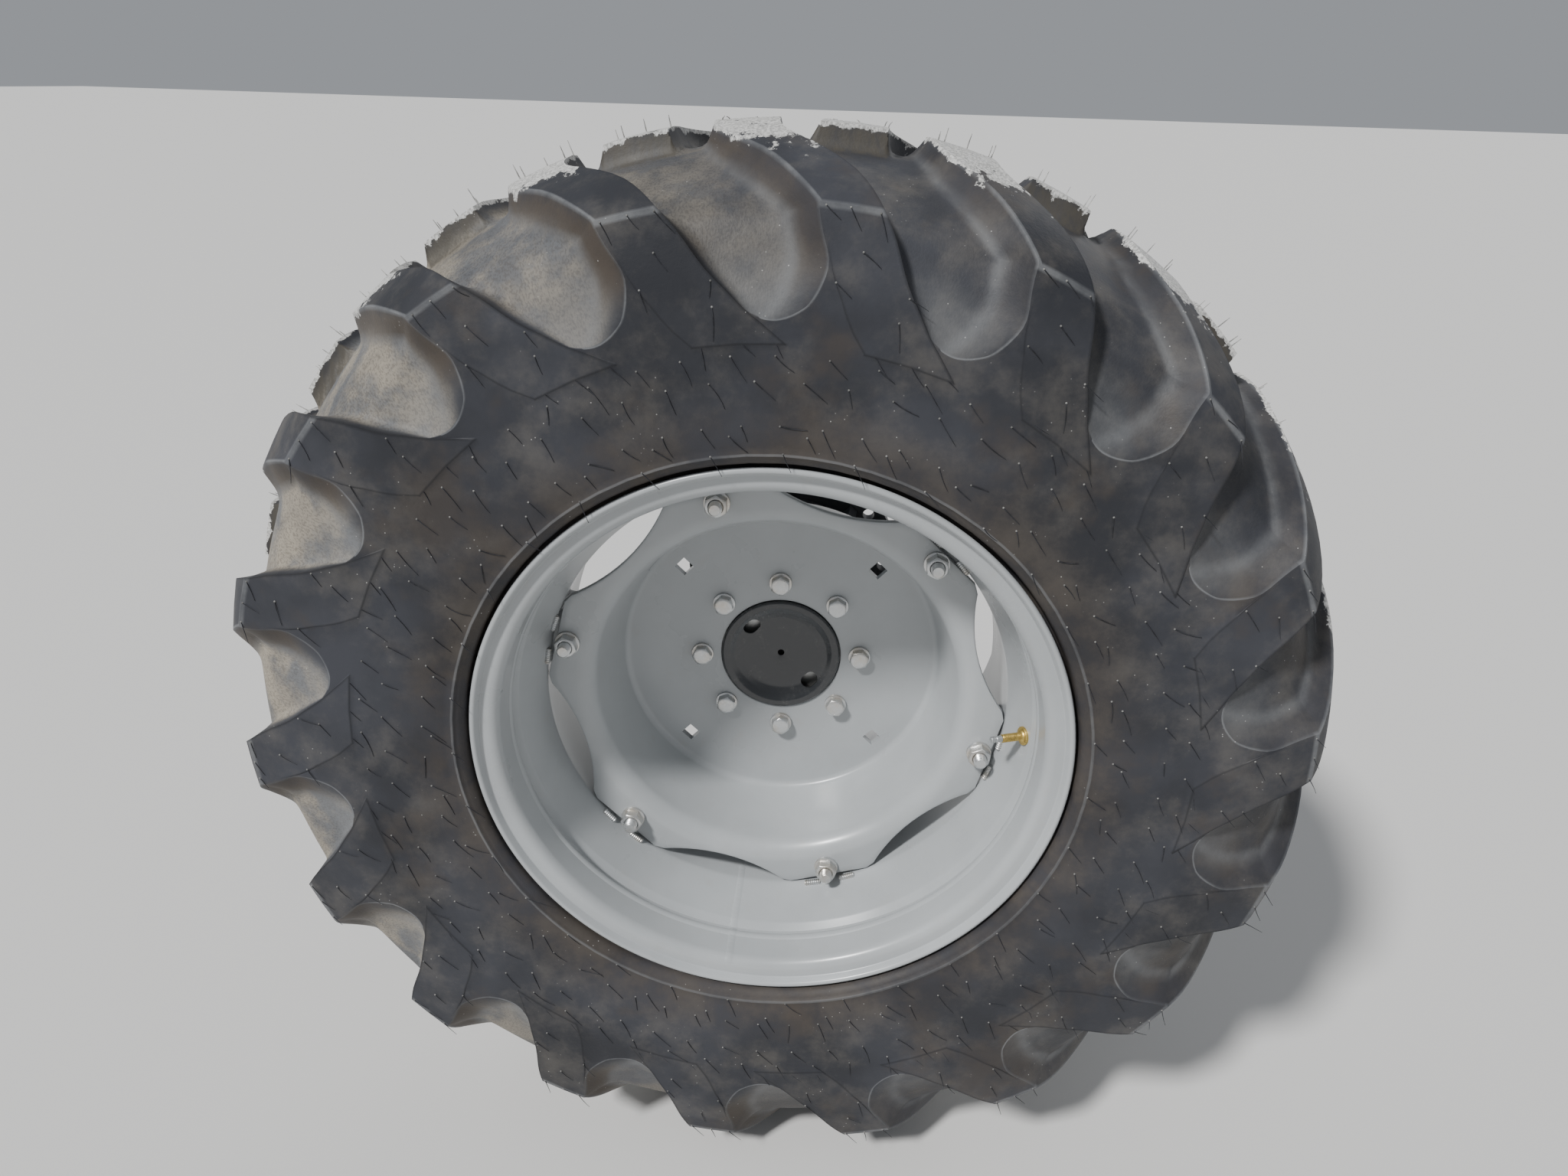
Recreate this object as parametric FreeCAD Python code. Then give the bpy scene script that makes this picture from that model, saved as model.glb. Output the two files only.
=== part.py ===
import FreeCAD, Part
import math
import os
from FreeCAD import Vector

# Rear wheel of a farm tractor on the end of its rear axle. All sizes are in millimetres.
# The wheel turns about the Y axis. Its outboard side faces -Y, +X is to the right of
# someone who looks at that side, and +Z is up.
# The origin is the centre of the axle housing's inboard flange face, where it is bolted up.
# Angles are in degrees about Y, from +X towards +Z.

# Where the wheel stands on the axle
mount_to_hub_face = 330.0
wheel_offset = 35.0

# Rim: flanges, tapered bead seats and drop centre
bead_seat_dia = 614.4
rim_inner_width = 381.0
flange_height = 25.4
flange_lip = 13.0
lip_rise = 3.5
rim_sheet = 7.0
seat_length = 57.5
seat_taper = 5.0
well_depth = 27.2
well_slope_run = 58.0

# Tyre casing
tyre_outer_dia = 1286.0
tyre_section_width = 448.6
bead_width = 38.5
bead_clearance = 0.4
lip_clearance = 2.0
lower_bulge_share = 0.3
lower_bulge_inset = 1.3
lug_depth = 27.0
sidewall_thickness = 14.0
tread_thickness = 24.0
facets_per_lug = 2

# Tyre lugs
lugs_per_side = 18
lug_phase = 106.6
lug_draft = 5.0

# Wheel disc
disc_thickness = 10.0
ear_face_offset = 112.0
ear_to_well_gap = 1.0
ear_half_angle = 10.5
ear_shoulder_angle = 13.0
ear_shoulder_drop = 3.5
scallop_depth = 30.2
annulus_land = 18.3
wall_flare = 21.0
plate_bend_r = 14.0
annulus_bend_r = 20.0
bend_steps = 2
square_hole_side = 17.0
square_hole_inset = 34.5
square_hole_count = 4
square_hole_phase = 46.6

# Bolts between the disc and the axle flange
hub_bolt_count = 8
hub_bolt_circle_dia = 203.2
hub_bolt_phase = 91.6
hub_bolt_dia = 14.0
hub_bolt_flats = 22.0
hub_head_height = 10.0
hub_washer_dia = 28.5
hub_bolt_end_gap = 0.5

# Bolts between the disc and the rim
rim_bolt_count = 6
rim_bolt_inset = 19.7
rim_bolt_phase = 106.2
rim_bolt_dia = 16.0
rim_bolt_flats = 24.0
rim_head_height = 10.0
rim_nut_height = 12.5
rim_washer_dia = 30.0
rim_stud_end = 10.0
washer_thickness = 3.5
bolt_hole_clearance = 0.5
thread_clearance = 0.1

# Brackets welded into the rim
bracket_width = 74.0
bracket_thickness = 12.0
bracket_toe_inset = 20.8
bracket_bend_clearance = 2.0
bracket_toe_chamfer = 5.0
bracket_corner = 18.0
bracket_cheek_length = 52.0
bracket_cheek_thickness = 9.0
bracket_cheek_height = 18.0
weld_gap = 0.3

# Hub cap
cap_dia = 152.4
cap_sheet = 2.0
cap_side_gap = 0.8
cap_seat_gap = 0.3
cap_proud = 3.5
cap_ring_width = 9.7
cap_dish_depth = 12.5
cap_floor_r = 35.0
cap_curve_r = 58.0
cap_curve_depth = 9.5
cap_hole_inset = 23.2
cap_hole_width = 17.0
cap_hole_length = 24.0
cap_hole_phase = 136.0
cap_centre_hole_r = 5.0

# Tyre valve
valve_angle = -1.8
valve_slope_run = 42.0
valve_stem_r = 5.0
valve_tip_r = 3.8
valve_base_r = 11.0
valve_base_height = 6.0
valve_stem_length = 22.0
valve_tip_length = 15.0
valve_seat_gap = 0.4

# Axle shaft and its flange
axle_flange_edge = 25.4
axle_flange_thickness = 22.0
flange_recess_edge = 6.2
flange_recess_depth = 8.0
shaft_dia = 75.0
shaft_shoulder_step = 8.0
shaft_shoulder_length = 8.0
shaft_inboard_gap = 12.0
running_clearance = 0.05

# Bearing, seal and their retainer
bearing_section = 24.5
bearing_width = 34.0
bearing_end_gap = 0.5
bearing_shoulder = 10.0
seal_section = 14.5
seal_width = 9.0
seat_clearance = 0.1
retainer_edge = 44.0
retainer_thickness = 14.0

# Axle housing
housing_end_gap = 8.0
housing_end_flange = 18.0
trumpet_wall = 20.0
trumpet_fillet = 10.0
trumpet_flare = 21.0
mount_bolt_circle_dia = 280.0
mount_bolt_count = 10
mount_hole_dia = 17.5
mount_flange_edge = 20.0
mount_flange_thickness = 22.0
rib_count = 4
rib_thickness = 14.0
rib_height = 26.0
rib_end_height = 4.0
rib_sink = 12.0
rib_phase = 45.0

# How far a cutting tool reaches past the faces that it cuts
cut_past = 1.0

# Places along the axle
hub_face_y = -mount_to_hub_face
rim_centre_y = hub_face_y - wheel_offset
disc_back_y = hub_face_y + disc_thickness
ear_face_y = hub_face_y - ear_face_offset
ear_back_y = ear_face_y + disc_thickness
bracket_back_y = ear_back_y + bracket_thickness
flange_back_y = disc_back_y + axle_flange_thickness
retainer_y = flange_back_y + housing_end_gap
housing_end_y = retainer_y + retainer_thickness
bearing_end_y = housing_end_y + bearing_width

# Rim sizes that follow
seat_r = bead_seat_dia / 2 - rim_sheet / 2
seat_drop = math.tan(math.radians(seat_taper))
slope_top_distance = rim_inner_width / 2 - seat_length
slope_top_r = seat_r - (seat_length + rim_sheet / 2) * seat_drop
well_half_width = slope_top_distance - well_slope_run
well_mid_r = bead_seat_dia / 2 - well_depth
well_inner_r = well_mid_r - rim_sheet / 2

# Disc and bolt circles that follow
ear_tip_r = well_inner_r - ear_to_well_gap
scallop_floor_r = ear_tip_r - scallop_depth
annulus_r = scallop_floor_r - annulus_land
plate_r = annulus_r - wall_flare
annulus_flat_r = annulus_r + annulus_bend_r * math.tan(math.atan2(ear_face_offset, wall_flare) / 2)
hub_circle_r = hub_bolt_circle_dia / 2
rim_circle_r = well_inner_r - rim_bolt_inset
disc_bore_r = cap_dia / 2 + cap_side_gap

# Tyre sizes that follow
half_width = tyre_section_width / 2
crown_r = tyre_outer_dia / 2
facet_count = facets_per_lug * lugs_per_side
corner_share = 1 / math.cos(math.pi / facet_count)
heel_distance = rim_inner_width / 2 - bead_clearance
seat_top_r = (bead_seat_dia / 2 + bead_clearance) * corner_share
flange_top_r = (bead_seat_dia / 2 + flange_height + bead_clearance) * corner_share

# Axle end sizes that follow
shaft_r = shaft_dia / 2
bearing_outer_r = shaft_r + bearing_section
seal_outer_r = shaft_r + seal_section
trumpet_end_r = bearing_outer_r + trumpet_wall
trumpet_root_r = trumpet_end_r + trumpet_flare
mount_circle_r = mount_bolt_circle_dia / 2


def turned(shape, angle):
    """Turn a shape made at angle 0 to another angle about the wheel's axis."""
    copy = shape.copy()
    copy.rotate(Vector(0, 0, 0), Vector(0, 1, 0), -angle)
    return copy


def ring_of(shape, count, phase):
    """Repeat a shape made at angle 0 around the wheel's axis."""
    return [turned(shape, phase + 360.0 * k / count) for k in range(count)]


def polar(radius, angle, y):
    """A point at a radius and an angle about the wheel's axis."""
    turn = math.radians(angle)
    return Vector(radius * math.cos(turn), y, radius * math.sin(turn))


def cylinder(radius, y_from, y_to):
    """A cylinder on the wheel's axis between two places along it."""
    return Part.makeCylinder(radius, y_to - y_from, Vector(0, y_from, 0), Vector(0, 1, 0))


def pin_at(distance, radius, y_from, y_to):
    """A cylinder beside the axis, along it, at angle 0."""
    return Part.makeCylinder(radius, y_to - y_from, Vector(distance, y_from, 0), Vector(0, 1, 0))


def hole_at(distance, radius, y_from, y_to):
    """A cutting tool for a hole along the axis, at angle 0, that reaches past both faces."""
    return pin_at(distance, radius, y_from - cut_past, y_to + cut_past)


def prism(corners, along):
    """A flat outline of points pushed along a vector."""
    return Part.Face(Part.makePolygon(corners + corners[:1])).extrude(along)


def hexagon(distance, flats, y_from, y_to):
    """A six-sided prism along the axis, at angle 0 and at a distance from the axis."""
    centre = Vector(distance, 0, 0)
    corners = [polar(flats / math.sqrt(3.0), 60 * k, y_from) + centre for k in range(6)]
    return prism(corners, Vector(0, y_to - y_from, 0))


def revolve(outline):
    """Turn a closed outline of (radius, y) points about the axis."""
    points = [Vector(radius, y, 0) for radius, y in outline]
    face = Part.Face(Part.makePolygon(points + points[:1]))
    return face.revolve(Vector(0, 0, 0), Vector(0, 1, 0), 360)


def closed_solid(faces):
    """A solid inside a closed set of flat faces."""
    solid = Part.Solid(Part.makeShell(faces))
    if solid.Volume < 0:
        solid.reverse()
    return solid


def flat(corners):
    """A flat face between corners."""
    return Part.Face(Part.makePolygon(corners + corners[:1]))


def offset_side(path, distance):
    """The line of (radius, y) points that runs beside a path at a distance."""
    side = []
    last = len(path) - 1
    for k, (radius, y) in enumerate(path):
        before = path[max(k - 1, 0)]
        after = path[min(k + 1, last)]
        steps = []
        for start, end in ((before, path[k]), (path[k], after)):
            length = math.hypot(end[0] - start[0], end[1] - start[1])
            if length > 0:
                steps.append(((end[0] - start[0]) / length, (end[1] - start[1]) / length))
        across = (sum(-step[1] for step in steps), sum(step[0] for step in steps))
        size = math.hypot(*across)
        normal = (across[0] / size, across[1] / size)
        lean = -steps[0][1] * normal[0] + steps[0][0] * normal[1]
        side.append((radius + distance * normal[0] / lean, y + distance * normal[1] / lean))
    return side


def revolved_sheet(path, thickness):
    """Sheet metal of one thickness whose middle follows a path of (radius, y) points."""
    left = offset_side(path, thickness / 2)
    right = offset_side(path, -thickness / 2)
    return revolve(left + right[::-1])


def bent(path, corner, radius):
    """Replace one corner of a path by a bend of a radius in a few straight steps."""
    here = path[corner]
    turns = []
    for other in (path[corner - 1], path[corner + 1]):
        length = math.hypot(other[0] - here[0], other[1] - here[1])
        turns.append(((other[0] - here[0]) / length, (other[1] - here[1]) / length))
    half = 0.5 * math.acos(turns[0][0] * turns[1][0] + turns[0][1] * turns[1][1])
    reach = radius / math.tan(half)
    middle = (turns[0][0] + turns[1][0], turns[0][1] + turns[1][1])
    size = math.hypot(*middle)
    centre = tuple(here[k] + middle[k] / size * radius / math.sin(half) for k in (0, 1))
    ends = [tuple(here[k] + turn[k] * reach for k in (0, 1)) for turn in turns]
    start = math.atan2(ends[0][1] - centre[1], ends[0][0] - centre[0])
    sweep = math.atan2(ends[1][1] - centre[1], ends[1][0] - centre[0]) - start
    sweep = (sweep + math.pi) % (2 * math.pi) - math.pi
    bend = []
    for k in range(bend_steps + 1):
        angle = start + sweep * k / bend_steps
        bend.append((centre[0] + radius * math.cos(angle), centre[1] + radius * math.sin(angle)))
    return path[:corner] + bend + path[corner + 1:]


def mirrored_path(half):
    """A path of (distance from the rim's centre plane, radius) on both sides of that plane."""
    out = [(radius, rim_centre_y - distance) for distance, radius in half]
    back = [(radius, rim_centre_y + distance) for distance, radius in half[::-1]]
    return out + back


def rim():
    """The rim: curled flanges, tapered bead seats and the drop centre."""
    flange_distance = rim_inner_width / 2 + rim_sheet / 2
    lip_r = bead_seat_dia / 2 + flange_height - rim_sheet / 2
    half = [
        (rim_inner_width / 2 + flange_lip, lip_r),
        (flange_distance, lip_r - lip_rise),
        (flange_distance, seat_r),
        (slope_top_distance, slope_top_r),
        (well_half_width, well_mid_r),
    ]
    barrel = revolved_sheet(mirrored_path(half), rim_sheet)
    return barrel.cut(valve_hole())


def rim_slope():
    """The place on the inside of the rim's slope where the valve stands, and its direction."""
    slope = math.atan2(slope_top_r - well_mid_r, well_slope_run)
    mid_r = well_mid_r + valve_slope_run * math.tan(slope)
    middle = Vector(mid_r, rim_centre_y - well_half_width - valve_slope_run, 0)
    inward = Vector(-math.cos(slope), -math.sin(slope), 0)
    return middle + inward * (rim_sheet / 2), inward


def valve_hole():
    """The hole for the valve, through the rim's slope."""
    base, inward = rim_slope()
    start = base - inward * 2 * rim_sheet
    hole = Part.makeCylinder(valve_stem_r + bolt_hole_clearance, 3 * rim_sheet, start, inward)
    return turned(hole, valve_angle)


def valve():
    """The tyre valve: flanged base, stem and narrow tip."""
    base, inward = rim_slope()
    foot = base - inward * rim_sheet
    seat = base + inward * valve_seat_gap
    stem_length = rim_sheet + valve_seat_gap + valve_base_height + valve_stem_length
    stem = Part.makeCylinder(valve_stem_r, stem_length, foot, inward)
    flange = Part.makeCylinder(valve_base_r, valve_base_height, seat, inward)
    tip = Part.makeCylinder(valve_tip_r, valve_tip_length, foot + inward * stem_length, inward)
    return turned(stem.fuse([flange, tip]).removeSplitter(), valve_angle)


# The casing's outer line from its widest place to the tread, which is the floor of the voids
# between the lugs. Columns: inset from the tyre's side, drop below its crown.
casing_table = [
    (0.0, 171.0),
    (7.0, 125.0),
    (41.0, 77.0),
    (164.3, lug_depth),
]

# The casing's inner line over the same stretch, in the same columns.
liner_table = [
    (sidewall_thickness, 171.0),
    (60.0, 103.0),
    (150.0, lug_depth + tread_thickness),
]

# A lug's sections from its nose at the crown to its toe on the sidewall. Columns: inset from
# the tyre's side and drop below its crown of the top, the same two of the root inside the
# casing, and the angles of the left and right edges, clockwise from the lug's shoulder corner.
lug_table = [
    (254.3, 0.3, 264.3, 44.0, -10.6, -4.7),
    (149.3, 7.0, 166.3, 50.0, -9.6, -4.3),
    (52.3, 35.5, 74.3, 75.0, -3.5, 2.8),
    (12.3, 61.0, 52.3, 91.0, 0.0, 5.5),
    (3.3, 109.0, 26.3, 119.0, 1.5, 8.5),
    (0.5, 184.0, 10.0, 184.0, 6.95, 17.0),
]


def casing():
    """The hollow casing, in flat facets around so that the lugs join it along straight edges."""
    upper_r = crown_r - casing_table[0][1]
    lower_r = flange_top_r + lower_bulge_share * (upper_r - flange_top_r)
    lower_distance = half_width - lower_bulge_inset
    outer = [
        (heel_distance, seat_top_r),
        (heel_distance, flange_top_r),
        (rim_inner_width / 2 + flange_lip + lip_clearance, flange_top_r),
        (lower_distance, lower_r),
    ]
    outer += [(half_width - inset, crown_r - drop) for inset, drop in casing_table]
    inner = [
        (heel_distance - bead_width, seat_top_r - bead_width * seat_drop),
        (lower_distance - sidewall_thickness, lower_r),
    ]
    inner += [(half_width - inset, crown_r - drop) for inset, drop in liner_table]
    outline = mirrored_path(outer) + mirrored_path(inner)[::-1]
    faces = []
    for k in range(facet_count):
        left = lug_phase + 360.0 * k / facet_count
        right = lug_phase + 360.0 * ((k + 1) % facet_count) / facet_count
        for (r_from, y_from), (r_to, y_to) in zip(outline, outline[1:] + outline[:1]):
            faces.append(flat([polar(r_from, left, y_from), polar(r_from, right, y_from),
                               polar(r_to, right, y_to), polar(r_to, left, y_to)]))
    return closed_solid(faces)


def lug():
    """One lug of the outboard side, in flat facets through its sections."""
    rings = []
    for top_inset, top_drop, root_inset, root_drop, left, right in lug_table:
        top_y = rim_centre_y - half_width + top_inset
        root_y = rim_centre_y - half_width + root_inset
        top_r = crown_r - top_drop
        root_r = crown_r - root_drop
        spread = math.degrees(lug_draft / root_r)
        rings.append([polar(top_r, -left, top_y), polar(top_r, -right, top_y),
                      polar(root_r, -right - spread, root_y), polar(root_r, -left + spread, root_y)])
    nose = rings[0]
    toe = rings[-1]
    faces = [flat([nose[0], nose[1], nose[2]]), flat([nose[0], nose[2], nose[3]]),
             flat([toe[0], toe[2], toe[1]]), flat([toe[0], toe[3], toe[2]])]
    for near, far in zip(rings, rings[1:]):
        for k in range(4):
            n = (k + 1) % 4
            faces.append(flat([near[k], far[k], far[n]]))
            faces.append(flat([near[k], far[n], near[n]]))
    return closed_solid(faces)


def tyre():
    """The tyre: a hollow casing with a row of lugs on each side, half a pitch apart."""
    near_lug = lug()
    far_lug = near_lug.mirror(Vector(0, rim_centre_y, 0), Vector(0, 1, 0))
    half_pitch = 180.0 / lugs_per_side
    lugs = ring_of(near_lug, lugs_per_side, lug_phase)
    lugs += ring_of(far_lug, lugs_per_side, lug_phase + half_pitch)
    return casing().fuse(lugs).removeSplitter()


def ear_outline(y):
    """The disc's edge: six cornered ears, with a round scallop between each two."""
    edges = []
    pitch = 360.0 / rim_bolt_count
    shoulder_r = ear_tip_r - ear_shoulder_drop
    for k in range(rim_bolt_count):
        middle = rim_bolt_phase + pitch * k
        left = polar(ear_tip_r, middle - ear_half_angle, y)
        right = polar(ear_tip_r, middle + ear_half_angle, y)
        start = polar(shoulder_r, middle + ear_shoulder_angle, y)
        floor = polar(scallop_floor_r, middle + pitch / 2, y)
        end = polar(shoulder_r, middle + pitch - ear_shoulder_angle, y)
        edges.append(Part.makeLine(left, right))
        edges.append(Part.makeLine(right, start))
        edges.append(Part.Arc(start, floor, end).toShape())
        edges.append(Part.makeLine(end, polar(ear_tip_r, middle + pitch - ear_half_angle, y)))
    return Part.Face(Part.Wire(edges))


def wheel_disc():
    """The pressed disc: flat plate, flared wall and an annulus with six ears."""
    mid_plate_y = hub_face_y + disc_thickness / 2
    mid_ear_y = ear_face_y + disc_thickness / 2
    path = [(disc_bore_r, mid_plate_y), (plate_r, mid_plate_y),
            (annulus_r, mid_ear_y), (ear_tip_r + disc_thickness, mid_ear_y)]
    path = bent(path, 2, annulus_bend_r)
    path = bent(path, 1, plate_bend_r)
    disc = revolved_sheet(path, disc_thickness)
    depth = ear_face_offset + disc_thickness + 2 * cut_past
    disc = disc.common(ear_outline(ear_face_y - cut_past).extrude(Vector(0, depth, 0)))
    hub_hole = hole_at(hub_circle_r, hub_bolt_dia / 2 + bolt_hole_clearance, hub_face_y, disc_back_y)
    rim_hole = hole_at(rim_circle_r, rim_bolt_dia / 2 + bolt_hole_clearance, ear_face_y, ear_back_y)
    half = square_hole_side / 2
    corner = Vector(plate_r - square_hole_inset - half, hub_face_y - cut_past, -half)
    square = Part.makeBox(square_hole_side, disc_thickness + 2 * cut_past, square_hole_side, corner)
    cuts = ring_of(hub_hole, hub_bolt_count, hub_bolt_phase)
    cuts += ring_of(rim_hole, rim_bolt_count, rim_bolt_phase)
    cuts += ring_of(square, square_hole_count, square_hole_phase)
    return disc.cut(cuts)


def rim_bracket():
    """One bracket at angle 0: a plate behind the ear and two cheeks welded to the rim's well."""
    half = bracket_width / 2
    toe_r = rim_circle_r - bracket_toe_inset
    reach_r = well_inner_r + rim_sheet
    side = [Vector(reach_r, ear_back_y, -half),
            Vector(annulus_flat_r + bracket_bend_clearance, ear_back_y, -half),
            Vector(toe_r, ear_back_y + bracket_toe_chamfer, -half),
            Vector(toe_r, bracket_back_y, -half),
            Vector(reach_r, bracket_back_y, -half)]
    plate = prism(side, Vector(0, 0, bracket_width))
    corners = []
    for edge in (-half, half):
        inner = edge - math.copysign(bracket_corner, edge)
        nib = [Vector(toe_r, ear_back_y, edge), Vector(toe_r + bracket_corner, ear_back_y, edge),
               Vector(toe_r, ear_back_y, inner)]
        corners.append(prism(nib, Vector(0, bracket_thickness, 0)))
    plate = plate.cut(corners)
    cheek_end_y = ear_back_y + bracket_cheek_length
    cheeks = []
    for z_from in (-half, half - bracket_cheek_thickness):
        cheek = [Vector(toe_r + bracket_corner, bracket_back_y, z_from),
                 Vector(reach_r, bracket_back_y, z_from),
                 Vector(reach_r, cheek_end_y, z_from),
                 Vector(well_inner_r - bracket_cheek_height, cheek_end_y, z_from)]
        cheeks.append(prism(cheek, Vector(0, 0, bracket_cheek_thickness)))
    bracket = plate.fuse(cheeks).removeSplitter()
    weld_line = cylinder(well_inner_r - weld_gap, ear_back_y - cut_past, cheek_end_y + cut_past)
    hole = hole_at(rim_circle_r, rim_bolt_dia / 2 + bolt_hole_clearance, ear_back_y, bracket_back_y)
    return bracket.common(weld_line).cut(hole)


def hub_bolt():
    """One bolt and its washer, through the disc into the axle flange."""
    seat_y = hub_face_y - washer_thickness
    head = hexagon(hub_circle_r, hub_bolt_flats, seat_y - hub_head_height, seat_y)
    washer = pin_at(hub_circle_r, hub_washer_dia / 2, seat_y, hub_face_y)
    shank = pin_at(hub_circle_r, hub_bolt_dia / 2, hub_face_y, flange_back_y - hub_bolt_end_gap)
    return head.fuse([washer, shank])


def rim_bolt():
    """One bolt from behind the bracket, through the ear, with its end beyond the nut."""
    head = hexagon(rim_circle_r, rim_bolt_flats, bracket_back_y, bracket_back_y + rim_head_height)
    end_y = ear_face_y - washer_thickness - rim_nut_height - rim_stud_end
    shank = pin_at(rim_circle_r, rim_bolt_dia / 2, end_y, bracket_back_y)
    return head.fuse(shank)


def rim_nut():
    """One nut and its washer on the outboard side of an ear."""
    seat_y = ear_face_y - washer_thickness
    body = hexagon(rim_circle_r, rim_bolt_flats, seat_y - rim_nut_height, seat_y)
    washer = pin_at(rim_circle_r, rim_washer_dia / 2, seat_y, ear_face_y)
    bore = hole_at(rim_circle_r, rim_bolt_dia / 2 + thread_clearance,
                   seat_y - rim_nut_height, ear_face_y)
    return body.fuse(washer).cut(bore)


def hub_cap():
    """The cap in the disc's centre: a pressed dish with two oval holes and a centre hole."""
    ring_y = hub_face_y - cap_proud + cap_sheet / 2
    skirt_r = cap_dia / 2 - cap_sheet / 2
    path = [(0, ring_y + cap_dish_depth), (cap_floor_r, ring_y + cap_dish_depth),
            (cap_curve_r, ring_y + cap_curve_depth), (cap_dia / 2 - cap_ring_width, ring_y),
            (skirt_r, ring_y), (skirt_r, disc_back_y - cap_seat_gap)]
    dish = revolved_sheet(path, cap_sheet)
    depth = cap_dish_depth + cap_sheet
    half_flat = (cap_hole_length - cap_hole_width) / 2
    slot_r = cap_dia / 2 - cap_hole_inset
    oval = [hole_at(slot_r, cap_hole_width / 2, ring_y, ring_y + depth)]
    for offset in (-half_flat, half_flat):
        end = oval[0].copy()
        end.translate(Vector(0, 0, offset))
        oval.append(end)
    corner = Vector(slot_r - cap_hole_width / 2, ring_y - cut_past, -half_flat)
    oval.append(Part.makeBox(cap_hole_width, depth + 2 * cut_past, 2 * half_flat, corner))
    slot = oval[1].fuse(oval[2:]).removeSplitter()
    centre = cylinder(cap_centre_hole_r, ring_y, ring_y + depth)
    return dish.cut(ring_of(slot, 2, cap_hole_phase) + [centre])


def axle_shaft():
    """The axle shaft with the flange that carries the wheel, recessed behind the cap."""
    flange_r = hub_circle_r + axle_flange_edge
    recess_r = cap_dia / 2 - flange_recess_edge
    shoulder_r = shaft_r + shaft_shoulder_step
    shoulder_y = flange_back_y + shaft_shoulder_length
    outline = [(0, disc_back_y + flange_recess_depth), (recess_r, disc_back_y + flange_recess_depth),
               (recess_r, disc_back_y), (flange_r, disc_back_y), (flange_r, flange_back_y),
               (shoulder_r, flange_back_y), (shaft_r, shoulder_y),
               (shaft_r, -shaft_inboard_gap), (0, -shaft_inboard_gap)]
    hole = hole_at(hub_circle_r, hub_bolt_dia / 2 + thread_clearance, disc_back_y, flange_back_y)
    return revolve(outline).cut(ring_of(hole, hub_bolt_count, hub_bolt_phase))


def axle_housing():
    """The housing: end flange, ribbed trumpet and the inboard flange that is bolted up."""
    end_flange_r = bearing_outer_r + retainer_edge
    end_flange_back_y = housing_end_y + housing_end_flange
    bore_r = bearing_outer_r - bearing_shoulder
    mount_flange_r = mount_circle_r + mount_flange_edge
    outline = [(bearing_outer_r + seat_clearance, housing_end_y), (end_flange_r, housing_end_y),
               (end_flange_r, end_flange_back_y),
               (trumpet_end_r, end_flange_back_y + trumpet_fillet),
               (trumpet_root_r, -mount_flange_thickness),
               (mount_flange_r, -mount_flange_thickness), (mount_flange_r, 0),
               (bore_r, 0), (bore_r, bearing_end_y),
               (bearing_outer_r + seat_clearance, bearing_end_y)]
    inner_r = trumpet_end_r - rib_sink
    line = [Vector(inner_r, end_flange_back_y - cut_past, -rib_thickness / 2),
            Vector(trumpet_end_r + rib_end_height, end_flange_back_y - cut_past, -rib_thickness / 2),
            Vector(trumpet_root_r + rib_height, cut_past - mount_flange_thickness, -rib_thickness / 2),
            Vector(inner_r, cut_past - mount_flange_thickness, -rib_thickness / 2)]
    rib = prism(line, Vector(0, 0, rib_thickness))
    housing = revolve(outline).fuse(ring_of(rib, rib_count, rib_phase)).removeSplitter()
    hole = hole_at(mount_circle_r, mount_hole_dia / 2, -mount_flange_thickness, 0)
    return housing.cut(ring_of(hole, mount_bolt_count, 0))


def bearing_retainer():
    """The plate on the housing's end that holds the bearing and the seal."""
    plate = cylinder(bearing_outer_r + retainer_edge, retainer_y, housing_end_y)
    return plate.cut(cylinder(seal_outer_r + seat_clearance, retainer_y - cut_past,
                              housing_end_y + cut_past))


def shaft_ring(outer_r, y_from, y_to):
    """A ring around the shaft, with its running clearance inside."""
    ring = cylinder(outer_r, y_from, y_to)
    return ring.cut(cylinder(shaft_r + running_clearance, y_from - cut_past, y_to + cut_past))


def export(name, shape):
    """Write one node's solids to its own file."""
    shape.exportStep("parts/" + name + ".step")


def export_group(name, solids):
    """Write like pieces that don't touch each other to one file."""
    export(name, Part.makeCompound(solids))


os.makedirs("parts", exist_ok=True)

export("tyre", tyre())
export("rim", rim())
export("wheel_disc", wheel_disc())
for number, bracket in enumerate(ring_of(rim_bracket(), rim_bolt_count, rim_bolt_phase)):
    export("rim_bracket_" + str(number + 1), bracket)
export_group("rim_bolts", ring_of(rim_bolt(), rim_bolt_count, rim_bolt_phase))
export_group("rim_nuts", ring_of(rim_nut(), rim_bolt_count, rim_bolt_phase))
export_group("hub_bolts", ring_of(hub_bolt(), hub_bolt_count, hub_bolt_phase))
export("hub_cap", hub_cap())
export("valve", valve())
export("axle_shaft", axle_shaft())
export("axle_housing", axle_housing())
export("bearing_retainer", bearing_retainer())
export("axle_bearing", shaft_ring(bearing_outer_r, housing_end_y + bearing_end_gap, bearing_end_y))
export("oil_seal", shaft_ring(seal_outer_r, housing_end_y - seal_width, housing_end_y))
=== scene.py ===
import math

import bpy
import bmesh
import numpy as np
from bpy.props import FloatProperty, FloatVectorProperty, PointerProperty
from mathutils import Matrix, Vector


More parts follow.
